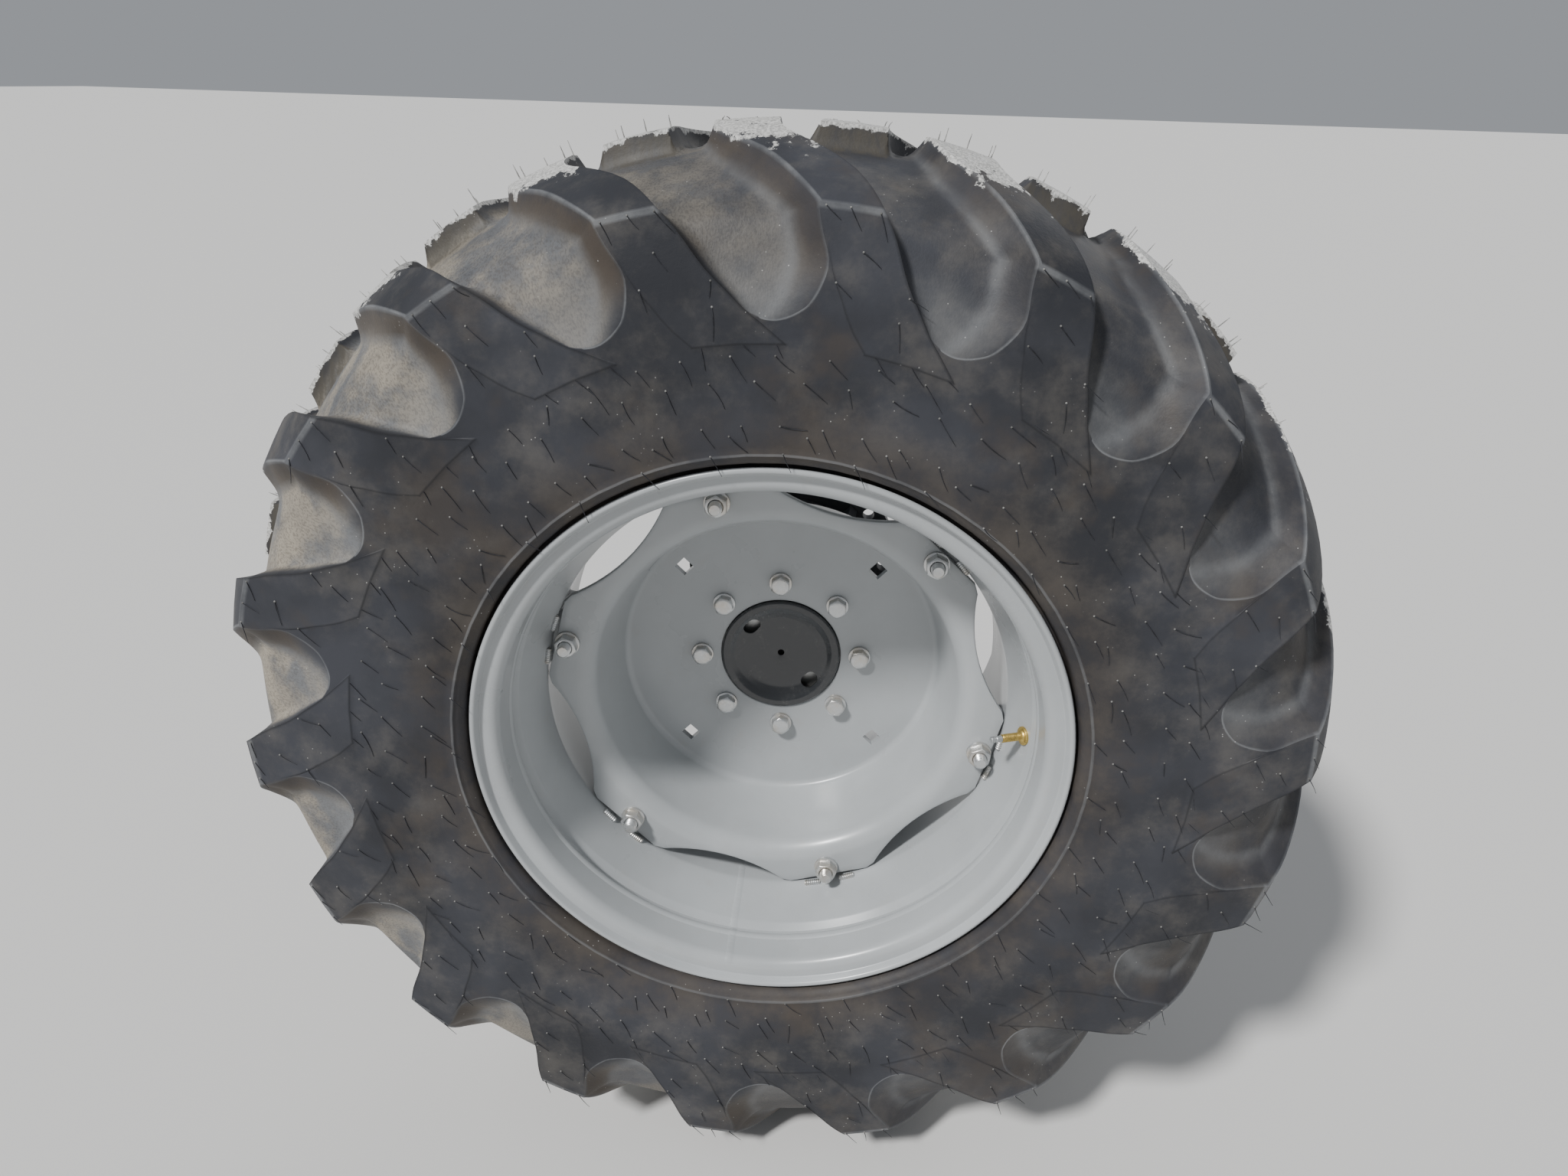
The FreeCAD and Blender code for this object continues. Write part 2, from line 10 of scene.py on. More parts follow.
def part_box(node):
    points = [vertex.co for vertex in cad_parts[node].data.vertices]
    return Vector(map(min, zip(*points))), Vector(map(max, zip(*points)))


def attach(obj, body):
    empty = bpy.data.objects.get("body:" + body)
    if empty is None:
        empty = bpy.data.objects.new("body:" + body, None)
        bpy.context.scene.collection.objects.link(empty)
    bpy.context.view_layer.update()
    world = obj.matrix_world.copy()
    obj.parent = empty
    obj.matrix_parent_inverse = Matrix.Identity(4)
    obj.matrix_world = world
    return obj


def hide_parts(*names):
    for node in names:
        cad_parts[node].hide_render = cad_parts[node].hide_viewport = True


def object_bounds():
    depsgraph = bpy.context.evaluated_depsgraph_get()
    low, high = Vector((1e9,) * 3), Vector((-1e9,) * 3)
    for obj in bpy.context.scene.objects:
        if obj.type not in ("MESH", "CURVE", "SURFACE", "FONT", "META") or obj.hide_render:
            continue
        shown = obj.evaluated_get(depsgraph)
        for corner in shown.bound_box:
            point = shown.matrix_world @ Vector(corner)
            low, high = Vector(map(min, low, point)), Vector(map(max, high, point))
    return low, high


bl_info = {
    "name": "Tractor rear wheel",
    "version": (1, 0, 0),
    "blender": (4, 5, 0),
    "location": "3D view > Sidebar > Wheel",
    "description": "Dresses a tractor rear wheel on its axle end: tyre, rim, disc, bolts, cap and valve",
    "category": "Object",
}

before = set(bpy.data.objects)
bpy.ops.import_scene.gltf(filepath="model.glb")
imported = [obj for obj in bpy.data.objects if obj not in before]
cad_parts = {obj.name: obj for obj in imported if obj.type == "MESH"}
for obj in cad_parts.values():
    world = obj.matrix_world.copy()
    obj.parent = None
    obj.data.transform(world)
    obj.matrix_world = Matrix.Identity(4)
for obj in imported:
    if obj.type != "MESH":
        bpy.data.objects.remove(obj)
cad_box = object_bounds()

# Tables and constants are in millimetres and degrees. Angles run about the axle, from +X
# towards +Z, apart from those of the tread, which run clockwise from a lug's shoulder corner.
MM = 0.001

HUB_FACE_Y = -330.0
RIM_CENTRE_Y = -365.0
EAR_FACE_Y = -442.0
DISC_THICKNESS = 10.0
WHEEL_BODY = "wheel"
AXLE_BODY = "axle_end"


def mm(value):
    """A length of a property, in metres, as millimetres."""
    return value / MM


def circle(count):
    """Even turns of a full circle, in radians."""
    return np.arange(count) * 2 * np.pi / count


def curve(at, table, column=1):
    """A smooth line through the few points of a table whose rising first column is where they lie."""
    xs, ys = np.array(table, float)[:, [0, column]].T
    slopes = np.diff(ys) / np.diff(xs)
    tangents = np.concatenate([slopes[:1], (slopes[1:] + slopes[:-1]) / 2, slopes[-1:]])
    at = np.asarray(at, float)
    k = np.clip(np.searchsorted(xs, at) - 1, 0, len(xs) - 2)
    step = xs[k + 1] - xs[k]
    t = (at - xs[k]) / step
    leave, arrive = step * tangents[k], step * tangents[k + 1]
    s = np.clip(t, 0.0, 1.0)
    value = ((2 * s**3 - 3 * s**2 + 1) * ys[k] + (s**3 - 2 * s**2 + s) * leave
             + (3 * s**2 - 2 * s**3) * ys[k + 1] + (s**3 - s**2) * arrive)
    return value + np.where(t < 0, t * leave, 0) + np.where(t > 1, (t - 1) * arrive, 0)


def smoothstep(at, low, high):
    """0 below low, 1 above high, and a soft rise between them."""
    t = np.clip((np.asarray(at, float) - low) / (high - low), 0.0, 1.0)
    return t * t * (3 - 2 * t)


def polar(radius, angle, y):
    """Points at a radius and an angle about the axle."""
    turn = np.radians(angle)
    return np.stack(np.broadcast_arrays(radius * np.cos(turn), y, radius * np.sin(turn)), axis=-1)


def ring(radius, turns, height):
    """Points at a radius and turns in radians about a place's own Z axis."""
    return np.stack(np.broadcast_arrays(radius * np.cos(turns), radius * np.sin(turns), height), axis=-1)


def grid_faces(rows, columns, closed_columns=True, closed_rows=False):
    """The quads of a grid of points, row by row."""
    start = np.arange(columns if closed_columns else columns - 1)
    after = (start + 1) % columns
    row = np.arange(rows if closed_rows else rows - 1)[:, None]
    below = (row + 1) % rows
    corners = [row * columns + start, row * columns + after, below * columns + after, below * columns + start]
    return np.stack(corners, axis=-1).reshape(-1, 4)


def rounded(path, bends, steps=5):
    """Replace corners of a path by bends. A bend's radius stands at its corner's number."""
    points = []
    for k, here in enumerate(path):
        radius = bends.get(k, 0.0)
        if radius == 0.0:
            points.append(here)
            continue
        here = np.array(here, float)
        turns = [np.array(path[n], float) - here for n in (k - 1, k + 1)]
        turns = [turn / np.hypot(*turn) for turn in turns]
        half = 0.5 * math.acos(float(np.clip(turns[0] @ turns[1], -1.0, 1.0)))
        middle = (turns[0] + turns[1]) / np.hypot(*(turns[0] + turns[1]))
        centre = here + middle * radius / math.sin(half)
        ends = [here + turn * radius / math.tan(half) - centre for turn in turns]
        start = math.atan2(ends[0][1], ends[0][0])
        sweep = (math.atan2(ends[1][1], ends[1][0]) - start + math.pi) % (2 * math.pi) - math.pi
        for n in range(steps + 1):
            angle = start + sweep * n / steps
            points.append(tuple(centre + radius * np.array([math.cos(angle), math.sin(angle)])))
    return points


def beside(path, distance):
    """The line that runs beside a path at a distance, on its left where that is above zero."""
    points = np.array(path, float)
    steps = np.diff(points, axis=0)
    steps = steps / np.hypot(steps[:, 0], steps[:, 1])[:, None]
    before = np.vstack([steps[:1], steps])
    after = np.vstack([steps, steps[-1:]])
    across = np.stack([-(before + after)[:, 1], (before + after)[:, 0]], axis=-1)
    across = across / np.hypot(across[:, 0], across[:, 1])[:, None]
    lean = -before[:, 1] * across[:, 0] + before[:, 0] * across[:, 1]
    return points + distance * across / lean[:, None]


def sheet_outline(path, thickness, nose=3):
    """The closed outline of sheet metal whose middle follows a path, with round ends."""
    left = beside(path, thickness / 2)
    right = beside(path, -thickness / 2)[::-1]
    outline = []
    for side, other in ((left, right), (right, left)):
        outline.extend(side[:-1])
        centre = (side[-1] + other[0]) / 2
        start = math.atan2(*(side[-1] - centre)[::-1])
        for k in range(nose * 2):
            angle = start - math.pi * k / (nose * 2)
            outline.append(centre + thickness / 2 * np.array([math.cos(angle), math.sin(angle)]))
    return np.array(outline)


class Form:
    """Points and faces of several shapes that become one mesh, with a finish number for each face."""

    def __init__(self):
        self.points = []
        self.faces = []
        self.finishes = []
        self.count = 0

    def add(self, points, faces, finish=0):
        """Add one shape: its points in millimetres and its faces as rows of point numbers."""
        points = np.asarray(points, float).reshape(-1, 3)
        self.points.append(points)
        self.faces.extend([corner + self.count for corner in face] for face in faces)
        self.finishes.extend([finish] * len(faces))
        self.count += len(points)

    def add_at(self, points, faces, place, finish=0):
        """Add a shape made about the origin, moved by a matrix."""
        turned = np.array(place)
        self.add(points.reshape(-1, 3) @ turned[:3, :3].T + turned[:3, 3], faces, finish)

    def revolve(self, outline, angles):
        """A closed outline of (radius, y) points turned about the axle."""
        points = polar(outline[:, :1], angles[None, :], outline[:, 1:])
        self.add(points, grid_faces(len(outline), len(angles), closed_rows=True))

    def lathe(self, profile, place, count=32, finish=0):
        """A profile of (radius, height) points turned about a place's own Z axis."""
        profile = np.array(profile, float)
        points = ring(profile[:, :1], circle(count), profile[:, 1:])
        self.add_at(points, grid_faces(len(profile), count), place, finish)

    def tube(self, path, radii, side, up, count, finish=0):
        """A strand of rings about a path. Side and up span each ring."""
        turns = circle(count)[None, :, None]
        spread = np.cos(turns) * side[:, None, :] + np.sin(turns) * up[:, None, :]
        points = path[:, None, :] + radii[:, None, None] * spread
        self.add(points, grid_faces(len(path), count), finish)


def along(origin, direction, turn=0.0):
    """A place whose Z axis points along a direction. Turn is about that axis."""
    direction = Vector(direction).normalized()
    side = Vector((0, 0, 1)) if abs(direction.z) < 0.9 else Vector((1, 0, 0))
    side = side.cross(direction).normalized()
    up = direction.cross(side)
    basis = Matrix((side, up, direction)).transposed().to_4x4()
    return Matrix.Translation(Vector(origin)) @ basis @ Matrix.Rotation(math.radians(turn), 4, "Z")


def outboard(radius, angle, y, turn=0.0):
    """A place at a radius and an angle about the axle whose Z axis points outboard."""
    return along(polar(radius, angle, y), (0, -1, 0), turn)


def inboard(radius, angle, y):
    """A place at a radius and an angle about the axle whose Z axis points inboard."""
    return along(polar(radius, angle, y), (0, 1, 0))


def build_mesh(name, form):
    """A mesh in metres from a form."""
    mesh = bpy.data.meshes.new(name)
    mesh.from_pydata((np.vstack(form.points) * MM).tolist(), [], form.faces)
    mesh.polygons.foreach_set("material_index", form.finishes)
    return mesh


def finish_mesh(mesh, sharp_angle, weld=True):
    """Weld doubled points, turn the faces outwards and shade smooth up to an angle."""
    work = bmesh.new()
    work.from_mesh(mesh)
    if weld:
        bmesh.ops.remove_doubles(work, verts=work.verts, dist=1e-6)
        bmesh.ops.dissolve_degenerate(work, dist=1e-7, edges=work.edges)
    bmesh.ops.recalc_face_normals(work, faces=work.faces)
    work.to_mesh(mesh)
    work.free()
    mesh.polygons.foreach_set("use_smooth", [True] * len(mesh.polygons))
    mesh.set_sharp_from_angle(angle=math.radians(sharp_angle))


def place_piece(name, mesh, materials, body=WHEEL_BODY, replaced=()):
    """Put a mesh in the scene as one piece that rides on a body."""
    if mesh.materials:
        mesh.materials.clear()
    for material in materials:
        mesh.materials.append(material)
    piece = bpy.data.objects.new(name, mesh)
    bpy.context.scene.collection.objects.link(piece)
    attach(piece, body)
    if replaced:
        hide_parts(*replaced)


def piece_of(name, form, materials, body=WHEEL_BODY, replaced=(), sharp_angle=32.0):
    """Make one piece from a form."""
    mesh = build_mesh(name, form)
    finish_mesh(mesh, sharp_angle)
    place_piece(name, mesh, materials, body, replaced)


def cut_form(name, form, holes, sharp_angle):
    """A mesh from a form with the closed shapes of another form cut out of it."""
    meshes = []
    for part_name, part, angle in ((name, form, sharp_angle), ("cutter", holes, 30.0)):
        meshes.append(build_mesh(part_name, part))
        finish_mesh(meshes[-1], angle)
    body, cutter = [bpy.data.objects.new(mesh.name, mesh) for mesh in meshes]
    for item in (body, cutter):
        bpy.context.scene.collection.objects.link(item)
    tool = body.modifiers.new("holes", "BOOLEAN")
    tool.operation = "DIFFERENCE"
    tool.solver = "EXACT"
    tool.object = cutter
    graph = bpy.context.evaluated_depsgraph_get()
    result = bpy.data.meshes.new_from_object(body.evaluated_get(graph))
    for item in (body, cutter):
        bpy.data.objects.remove(item)
    for mesh in meshes:
        bpy.data.meshes.remove(mesh)
    result.set_sharp_from_angle(angle=math.radians(sharp_angle))
    return result


def shade(color, share):
    """A colour made darker or lighter."""
    return tuple(share * c for c in color)


class Shader:
    """Builds one material from nodes around a Principled shader."""

    def __init__(self, name, color, roughness, metallic=0.0, specular=0.5, coat=0.0):
        self.material = bpy.data.materials.new(name)
        self.material.use_nodes = True
        self.material.diffuse_color = (*color, 1.0)
        self.tree = self.material.node_tree
        self.main = self.tree.nodes["Principled BSDF"].inputs
        values = {"Base Color": color, "Roughness": roughness, "Metallic": metallic,
                  "Specular IOR Level": specular, "Coat Weight": coat, "Coat Roughness": 0.2}
        for key, value in values.items():
            self.feed(self.main[key], value)
        self.place = self.node("TexCoord").outputs["Object"]

    def node(self, kind, inputs=None, **settings):
        """A new node with its settings and inputs."""
        item = self.tree.nodes.new("ShaderNode" + kind)
        for key, value in settings.items():
            setattr(item, key, value)
        for key, value in (inputs or {}).items():
            self.feed(item.inputs[key], value)
        return item

    def feed(self, socket, value):
        """Give a socket a value or another socket's output."""
        if isinstance(value, bpy.types.NodeSocket):
            self.tree.links.new(value, socket)
        elif socket.type == "RGBA":
            socket.default_value = (*value[:3], 1.0)
        else:
            socket.default_value = value

    def noise(self, scale, detail=4.0, roughness=0.55, stretch=None, where=None):
        """Cloudy noise, 0 to 1. Scale is in repeats per metre."""
        source = self.place if where is None else where
        if stretch:
            source = self.node("Mapping", {"Vector": source, "Scale": stretch}).outputs["Vector"]
        inputs = {"Vector": source, "Scale": scale, "Detail": detail, "Roughness": roughness}
        return self.node("TexNoise", inputs).outputs["Fac"]

    def specks(self, scale, size):
        """Small spots: 1 inside a spot, 0 outside."""
        spots = self.node("TexVoronoi", {"Vector": self.place, "Scale": scale})
        return self.band(spots.outputs["Distance"], size, size * 0.4)

    def band(self, value, low, high, out_low=0.0, out_high=1.0):
        """A value spread from one range to another, held at its ends."""
        if high < low:
            low, high, out_low, out_high = high, low, out_high, out_low
        inputs = {"Value": value, "From Min": low, "From Max": high, "To Min": out_low, "To Max": out_high}
        return self.node("MapRange", inputs, interpolation_type="SMOOTHSTEP").outputs["Result"]

    def math(self, operation, a, b=0.0):
        """Arithmetic on two values."""
        return self.node("Math", {0: a, 1: b}, operation=operation).outputs[0]

    def times(self, a, b):
        """Two values multiplied."""
        return self.math("MULTIPLY", a, b)

    def mix(self, share, a, b):
        """Two colours mixed."""
        return self.node("Mix", {"Factor": share, "A": a, "B": b}, data_type="RGBA").outputs["Result"]

    def mask(self, name):
        """A mask that the mesh carries."""
        return self.node("Attribute", attribute_name=name).outputs["Fac"]

    def parts(self):
        """The x, y and z of a point, in metres."""
        return self.node("SeparateXYZ", {0: self.place}).outputs

    def radius(self):
        """The distance from the axle, in metres."""
        x, _, z = self.parts()
        return self.math("SQRT", self.math("ADD", self.times(x, x), self.times(z, z)))

    def around(self):
        """Coordinates of radius, place along the axle and angle, so that noise runs around the axle."""
        x, y, z = self.parts()
        return self.node("CombineXYZ", {0: self.radius(), 1: y, 2: self.math("ARCTAN2", z, x)}).outputs[0]

    def bump(self, height, distance, strength):
        """Fine relief over what is there, whose full height is a distance in metres."""
        normal = self.main["Normal"]
        inputs = {"Distance": distance, "Strength": strength, "Height": height}
        if normal.is_linked:
            inputs["Normal"] = normal.links[0].from_socket
        self.feed(normal, self.node("Bump", inputs).outputs["Normal"])

    def finish(self, color, gloss, *reliefs):
        """The material with its colour, its roughness as a band of a value, and its reliefs."""
        self.feed(self.main["Base Color"], color)
        if gloss:
            self.feed(self.main["Roughness"], self.band(*gloss))
        for relief in reliefs:
            self.bump(*relief)
        return self.material


def rubber_material(looks):
    """Moulded rubber: dark lugs, dusty hollows, brown sheltered walls and pale worn lug tops. The hollows' dust
    and the walls' brown thin out towards +X, as painted light on the left side and painted shade on the right;
    painted highlight lines run along the lugs' edges and the slopes' feet, and painted shade along the lugs' right
    edges.
    """
    shader = Shader("tyre_rubber", looks.rubber, 0.6, specular=0.28)
    band, mask, mix, noise, times = shader.band, shader.mask, shader.mix, shader.noise, shader.times
    cloud = noise(5.0, 5.0)
    patches = noise(16.0, 6.0, 0.65)
    ripples = noise(300.0, 3.0, 0.5, where=shader.around())
    streaks = noise(90.0, 4.0, 0.6, stretch=(1.0, 1.0, 0.12))
    scratches = noise(240.0, 4.0, 0.6, where=shader.around())
    worn_break = noise(85.0, 8.0, 0.7, stretch=(0.6, 0.35, 0.6))
    to_right = shader.parts()[0]
    settled = mix(band(noise(13.0, 5.0, 0.6), 0.42, 0.6), looks.dust, looks.bloom)
    settled = mix(band(ripples, 0.45, 0.62, 0.0, 0.4), settled, looks.brown)
    in_hollow = times(band(mask("hollow"), 0.25, 0.85), band(patches, 0.25, 0.7, 0.6, 0.95))
    on_wall = times(mask("sheltered"), band(patches, 0.25, 0.6, 0.4, 0.85))
    ragged = times(shader.math("SUBTRACT", worn_break, 0.5), 3.0)
    worn = times(band(shader.math("ADD", mask("wear"), ragged), 0.5, 0.6), band(mask("wear"), 0.0, 0.1))
    worn_color = mix(band(scratches, 0.36, 0.64), shade(looks.worn, 0.5), looks.worn)
    spots = times(shader.specks(120.0, 0.1), band(patches, 0.5, 0.62))
    color = mix(band(cloud, 0.35, 0.68), shade(looks.rubber, 0.75), shade(looks.rubber, 1.5))
    # Layers from below to above: two factors of the share they cover, and their colour
    layers = (
        (band(patches, 0.42, 0.74), 0.14, looks.dust),
        (band(shader.radius(), 0.42, 0.345), band(patches, 0.3, 0.62, 0.1, 0.55), looks.brown),
        (band(noise(9.0, 4.0, 0.6), 0.52, 0.68), 0.45, looks.brown),
        # Painted light and shade: the hollows' dust is real, but its share rises from almost none at +X to full at
        # -X, so that hollows on the left look lit and those on the right shaded.
        (in_hollow, band(to_right, 0.15, -0.55, 0.04, 1.0), settled),
        (mask("bloom"), band(patches, 0.25, 0.7, 0.2, 0.5), looks.bloom),
        # Painted light and shade: brown on the sheltered walls likewise fades towards +X, leaving the right-hand
        # walls darker.
        (on_wall, band(to_right, 0.25, -0.15, 0.15, 1.0), looks.brown),
        # Painted highlight: a soft pale line along the foot of each sloped side.
        (mask("foot"), band(patches, 0.3, 0.65, 0.25, 0.6), looks.bloom),
        (mask("face"), band(streaks, 0.3, 0.65, 0.35, 0.9), shade(looks.dust, 0.2)),
        # Painted highlight: lighter lines along the lugs' edges, the spoon's rims and the ring above the rim.
        (mask("edge"), band(patches, 0.3, 0.6, 0.3, 0.75), shade(looks.bloom, 1.3)),
        # Painted shade: darker lines along the lugs' right edges and along the legs' base and left edges.
        (mask("crease"), 0.65, shade(looks.rubber, 0.35)),
        (worn, 1.0, worn_color),
        (spots, 0.5, looks.worn),
    )
    for one, other, over in layers:
        color = mix(times(one, other), color, over)
    return shader.finish(color, (cloud, 0.3, 0.7, 0.5, 0.68), (noise(260.0, 4.0, 0.6), 0.0004, 0.6),
                         (patches, 0.0012, 0.5), (times(ripples, mask("hollow")), 0.0006, 0.4),
                         (times(worn_break, worn), 0.0012, 0.5))


def hair_material(name, color):
    """Fine rubber, a little uneven."""
    shader = Shader(name, color, 0.6, specular=0.3)
    cloud = shader.noise(120.0, 3.0)
    tones = shader.mix(shader.band(cloud, 0.35, 0.65), shade(color, 0.4), color)
    return shader.finish(tones, None, (cloud, 0.0001, 0.4))


def paint_material(looks):
    """Light grey semi-gloss paint with a slight orange peel, dust and faint stains."""
    shader = Shader("wheel_paint", looks.paint, 0.3, coat=0.3)
    cloud = shader.noise(6.0, 5.0)
    stains = shader.times(shader.band(shader.noise(45.0, 6.0, 0.7), 0.55, 0.8), 0.25)
    color = shader.mix(shader.band(cloud, 0.35, 0.7), shade(looks.paint, 0.88), looks.paint)
    return shader.finish(shader.mix(stains, color, looks.stain), (cloud, 0.3, 0.7, 0.25, 0.37),
                         (shader.noise(420.0, 2.0), 0.0001, 0.35))


def zinc_material(looks):
    """Zinc plate with a faint warm tint and handling marks."""
    shader = Shader("zinc_plate", looks.zinc, 0.34, metallic=0.85)
    marks = shader.noise(300.0, 4.0)
    color = shader.mix(shader.band(shader.noise(38.0, 3.0), 0.4, 0.7), looks.zinc, looks.tint)
    return shader.finish(color, (marks, 0.3, 0.7, 0.26, 0.46), (marks, 0.0001, 0.4))


def cap_material(looks):
    """Glossy black paint with settled dust."""
    shader = Shader("black_paint", looks.cap, 0.22, coat=0.6)
    cloud = shader.noise(30.0, 6.0, 0.7)
    color = shader.mix(shader.times(shader.band(cloud, 0.5, 0.75), 0.2), looks.cap, looks.dust)
    color = shader.mix(shader.times(shader.specks(420.0, 0.16), 0.12), color, looks.dust)
    return shader.finish(color, (cloud, 0.35, 0.75, 0.16, 0.32), (cloud, 0.0002, 0.3))


def plate_material(name, color, share):
    """Bright plating, dulled to a share of its colour in places."""
    shader = Shader(name, color, 0.36, metallic=0.9)
    cloud = shader.noise(180.0, 5.0)
    tones = shader.mix(shader.band(cloud, 0.4, 0.7), color, shade(color, share))
    return shader.finish(tones, (cloud, 0.3, 0.7, 0.3, 0.55), (cloud, 0.0002, 0.4))


def machined_material(looks):
    """Bare machined steel with fine rings around the axle."""
    shader = Shader("machined_steel", looks.steel, 0.38, metallic=0.95)
    rings = shader.noise(1400.0, 2.0, where=shader.around())
    color = shader.mix(shader.band(shader.noise(25.0, 4.0), 0.4, 0.7), looks.steel, shade(looks.steel, 0.7))
    return shader.finish(color, (rings, 0.3, 0.7, 0.3, 0.5), (rings, 0.0001, 0.5))


def casting_material(looks):
    """Dark paint on cast iron, with the sand's grain and dust."""
    shader = Shader("housing_paint", looks.housing, 0.5, specular=0.45)
    grain = shader.noise(160.0, 5.0, 0.6)
    cloud = shader.noise(9.0, 5.0)
    color = shader.mix(shader.band(cloud, 0.35, 0.7), shade(looks.housing, 0.7), looks.housing)
    color = shader.mix(shader.times(shader.band(grain, 0.55, 0.8), 0.2), color, looks.dust)
    return shader.finish(color, (cloud, 0.3, 0.7, 0.42, 0.6), (grain, 0.0008, 0.6))


def seal_material(looks):
    """Satin seal rubber."""
    shader = Shader("seal_rubber", looks.seal, 0.5, specular=0.4)
    grain = shader.noise(300.0, 3.0)
    color = shader.mix(shader.band(grain, 0.3, 0.7), looks.seal, shade(looks.seal, 1.4))
    return shader.finish(color, None, (grain, 0.0001, 0.5))


# Tread: 18 lugs on each side, the two sides half a pitch apart
LUGS = 18
PITCH = 360.0 / LUGS
LUG_PHASE = 106.6
LEG_RAISE = 0.9
LEG_FADE = (520.0, 560.0)
NOSE_REACH = 30.0
BASE_LINE_R = 457.0
SHOULDER_R = 582.0
SHOULDER_D = 212.0

# Eleven control lines run along each pitch. These are the ones named below: the lug's right
# edge, the edges of the other side's lug over the crown, and the edge that ends the hollow.
LINES = 11
RIGHT, FAR_LEFT, FAR_RIGHT, SPOON = 1, 4, 6, 9

# Shares of each stretch between two control lines at which the tread's columns stand:
# lug top, steep wall, floor, sloped wall, and the edge between sloped wall and lug top
TREAD_COLUMNS = [(0, 0.03, 0.5, 0.95), (0, 0.12, 0.3, 0.6), (0, 0.25, 0.5, 0.75),
                 (0, 0.25, 0.48, 0.7, 0.88), (0, 0.06, 0.94)]

# Outer line of bead and lower sidewall: distance from the wheel's centre plane, radius
BEAD_LINE = [
    (190.1, 307.6), (190.1, 320), (190.2, 330.6), (192, 334.6), (197, 336.2), (203, 336.6), (208, 339),
    (211.8, 343.4), (213.6, 346.6), (215.2, 347.4), (215.3, 349.4), (214.9, 350.4), (217.3, 358),
    (219.5, 369), (221.1, 383), (221.9, 400), (222.2, 420), (222.3, 438), (222.3, 450), (222.3, 455.4),
]
BEAD_ROWS = 11
RING_LINE_R = 348.4
RING_LINE_HALF = 1.2

# Inner line of the casing: distance from the centre plane, radius
INNER_LINE = [(151.6, 304.2), (190, 345), (209, 400), (210, 470), (164, 540), (74, 590)]

# Rows over the crown, by their distance from the centre plane
CROWN_ROWS = [209.3, 202, 193, 182, 169, 154, 138, 120, 102, 84, 68, 56, 47, 41, 37.5, 34.5, 32, 30, 28, 14, 0]

# Rows on the upper sidewall, as shares of the way from the lugs' base line to the shoulder line.
# The spoon's bottom is the share where a hollow starts.
WALL_ROWS = [0, 0.016, 0.14, 0.23, 0.24, 0.255, 0.275, 0.3, 0.335, 0.375, 0.42, 0.48, 0.55, 0.62, 0.69,
             0.76, 0.83, 0.9, 0.952, 0.975, 1]
SPOON_BOTTOM = 0.24
SPOON_BASE_TURN = 22.6
SPOON_TILT = 5.0
SPOON_DIP = 44.0

# Edges of a lug and of a hollow: distance from the centre plane on the crown, or radius on the
# wall, and angle
LEFT_EDGE_CROWN = [(0, -10.6), (55, -10.1), (92, -8.7), (115, -7.3), (128, -6.3), (144, -5.1), (160, -4),
                   (180, -2.65), (200, -1.1), (212, 0)]
RIGHT_EDGE_CROWN = [(0, -4.75), (60, -4.4), (90, -3.5), (108, -2.4), (122, -1.3), (138, 0), (151, 1.1),
                    (161, 2), (176, 3.05), (187, 3.8), (200, 4.65), (212, 5.5)]
LEFT_EDGE_WALL = [(457, 6.6), (474, 4.8), (506, 2.7), (522, 1.8), (538, 1.2), (582, 0)]
RIGHT_EDGE_WALL = [(457, 17.4), (487, 13), (505, 11.1), (524, 9.3), (565, 6.7), (582, 5.5)]
SPOON_RIGHT = [(487, 19.4), (491.4, 19.85), (495.8, 20.15), (502, 20.5), (509.5, 20.8), (517, 21.04),
               (525.8, 21.2), (534.5, 21.15), (544.5, 20.85), (554.5, 20.43), (567, 20.02), (582, 19.7)]

# Lug tops over the crown: distance from the centre plane, radius. Sidewall: radius, distance.
CROWN_LINE = [(0, 642.4), (40, 640.3), (90, 633), (130, 623.5), (155, 614.8), (172, 607.5), (190, 598.2),
              (203, 589.6), (212, 582)]
SIDE_LINE = [(457, 222.3), (480, 222.2), (505, 221.5), (525, 220.3), (545, 218.2), (560, 216.2), (575, 213.6),
             (582, 212)]

# Floor of the voids between the lugs. Columns: place (0 the spoon's bottom, 1 the shoulder,
# 2 the crown's centre), distance from the centre plane, radius.
FLOOR_LINE = [(0, 222.5, 487), (0.1, 217.2, 496.5), (0.3, 207.4, 514.6), (0.5, 199.8, 531),
              (0.75, 191, 549.5), (1, 181, 565.5), (1.15, 167.5, 576.5), (1.3, 147, 587), (1.5, 107, 601),
              (1.75, 54, 613), (2, 0, 617.5)]

# Run of a lug's sloped side by the same places, and of its other sides, and how round their feet are
SLOPED_RUN = [(0, 40), (0.5, 34), (1, 28), (1.3, 24), (1.7, 13), (2, 11)]
STEEP_RUN = 4.5
NOSE_RUN = 7.0
WALL_FILLET = 0.4
STEEP_FILLET = 0.55

# Widths of the stretches of columns at a lug's sides
STEEP_WIDTH = 12.0
SLOPED_WIDTH = 24.0
EDGE_WIDTH = 2.0
LEAST_FLOOR = 0.1

# Where features come and go: by distance from the centre plane on the crown
FAR_LUG_FADE = (41.0, 98.0)
WEAR_FADE = (70.0, 165.0)
FACE_RISE = (29.0, 32.0)
FACE_FADE = (38.0, 50.0)
# and by share of the upper sidewall, or of a hollow's length
DIP_END = 0.75
SPOON_HIGHLIGHT_FADE = (0.35, 0.65)
TOP_HIGHLIGHT_START = 0.96
SHELTER_RISE = (0.1, 0.5)
BLOOM_FADE = (0.1, 0.75)

# Masks that the tyre's points carry for its material. The edge and foot masks paint highlight lines, and the one
# after edge paints shade along the lugs' edges.
MASKS =("hollow", "sheltered", "wear", "edge", "crease", "face", "foot", "bloom")


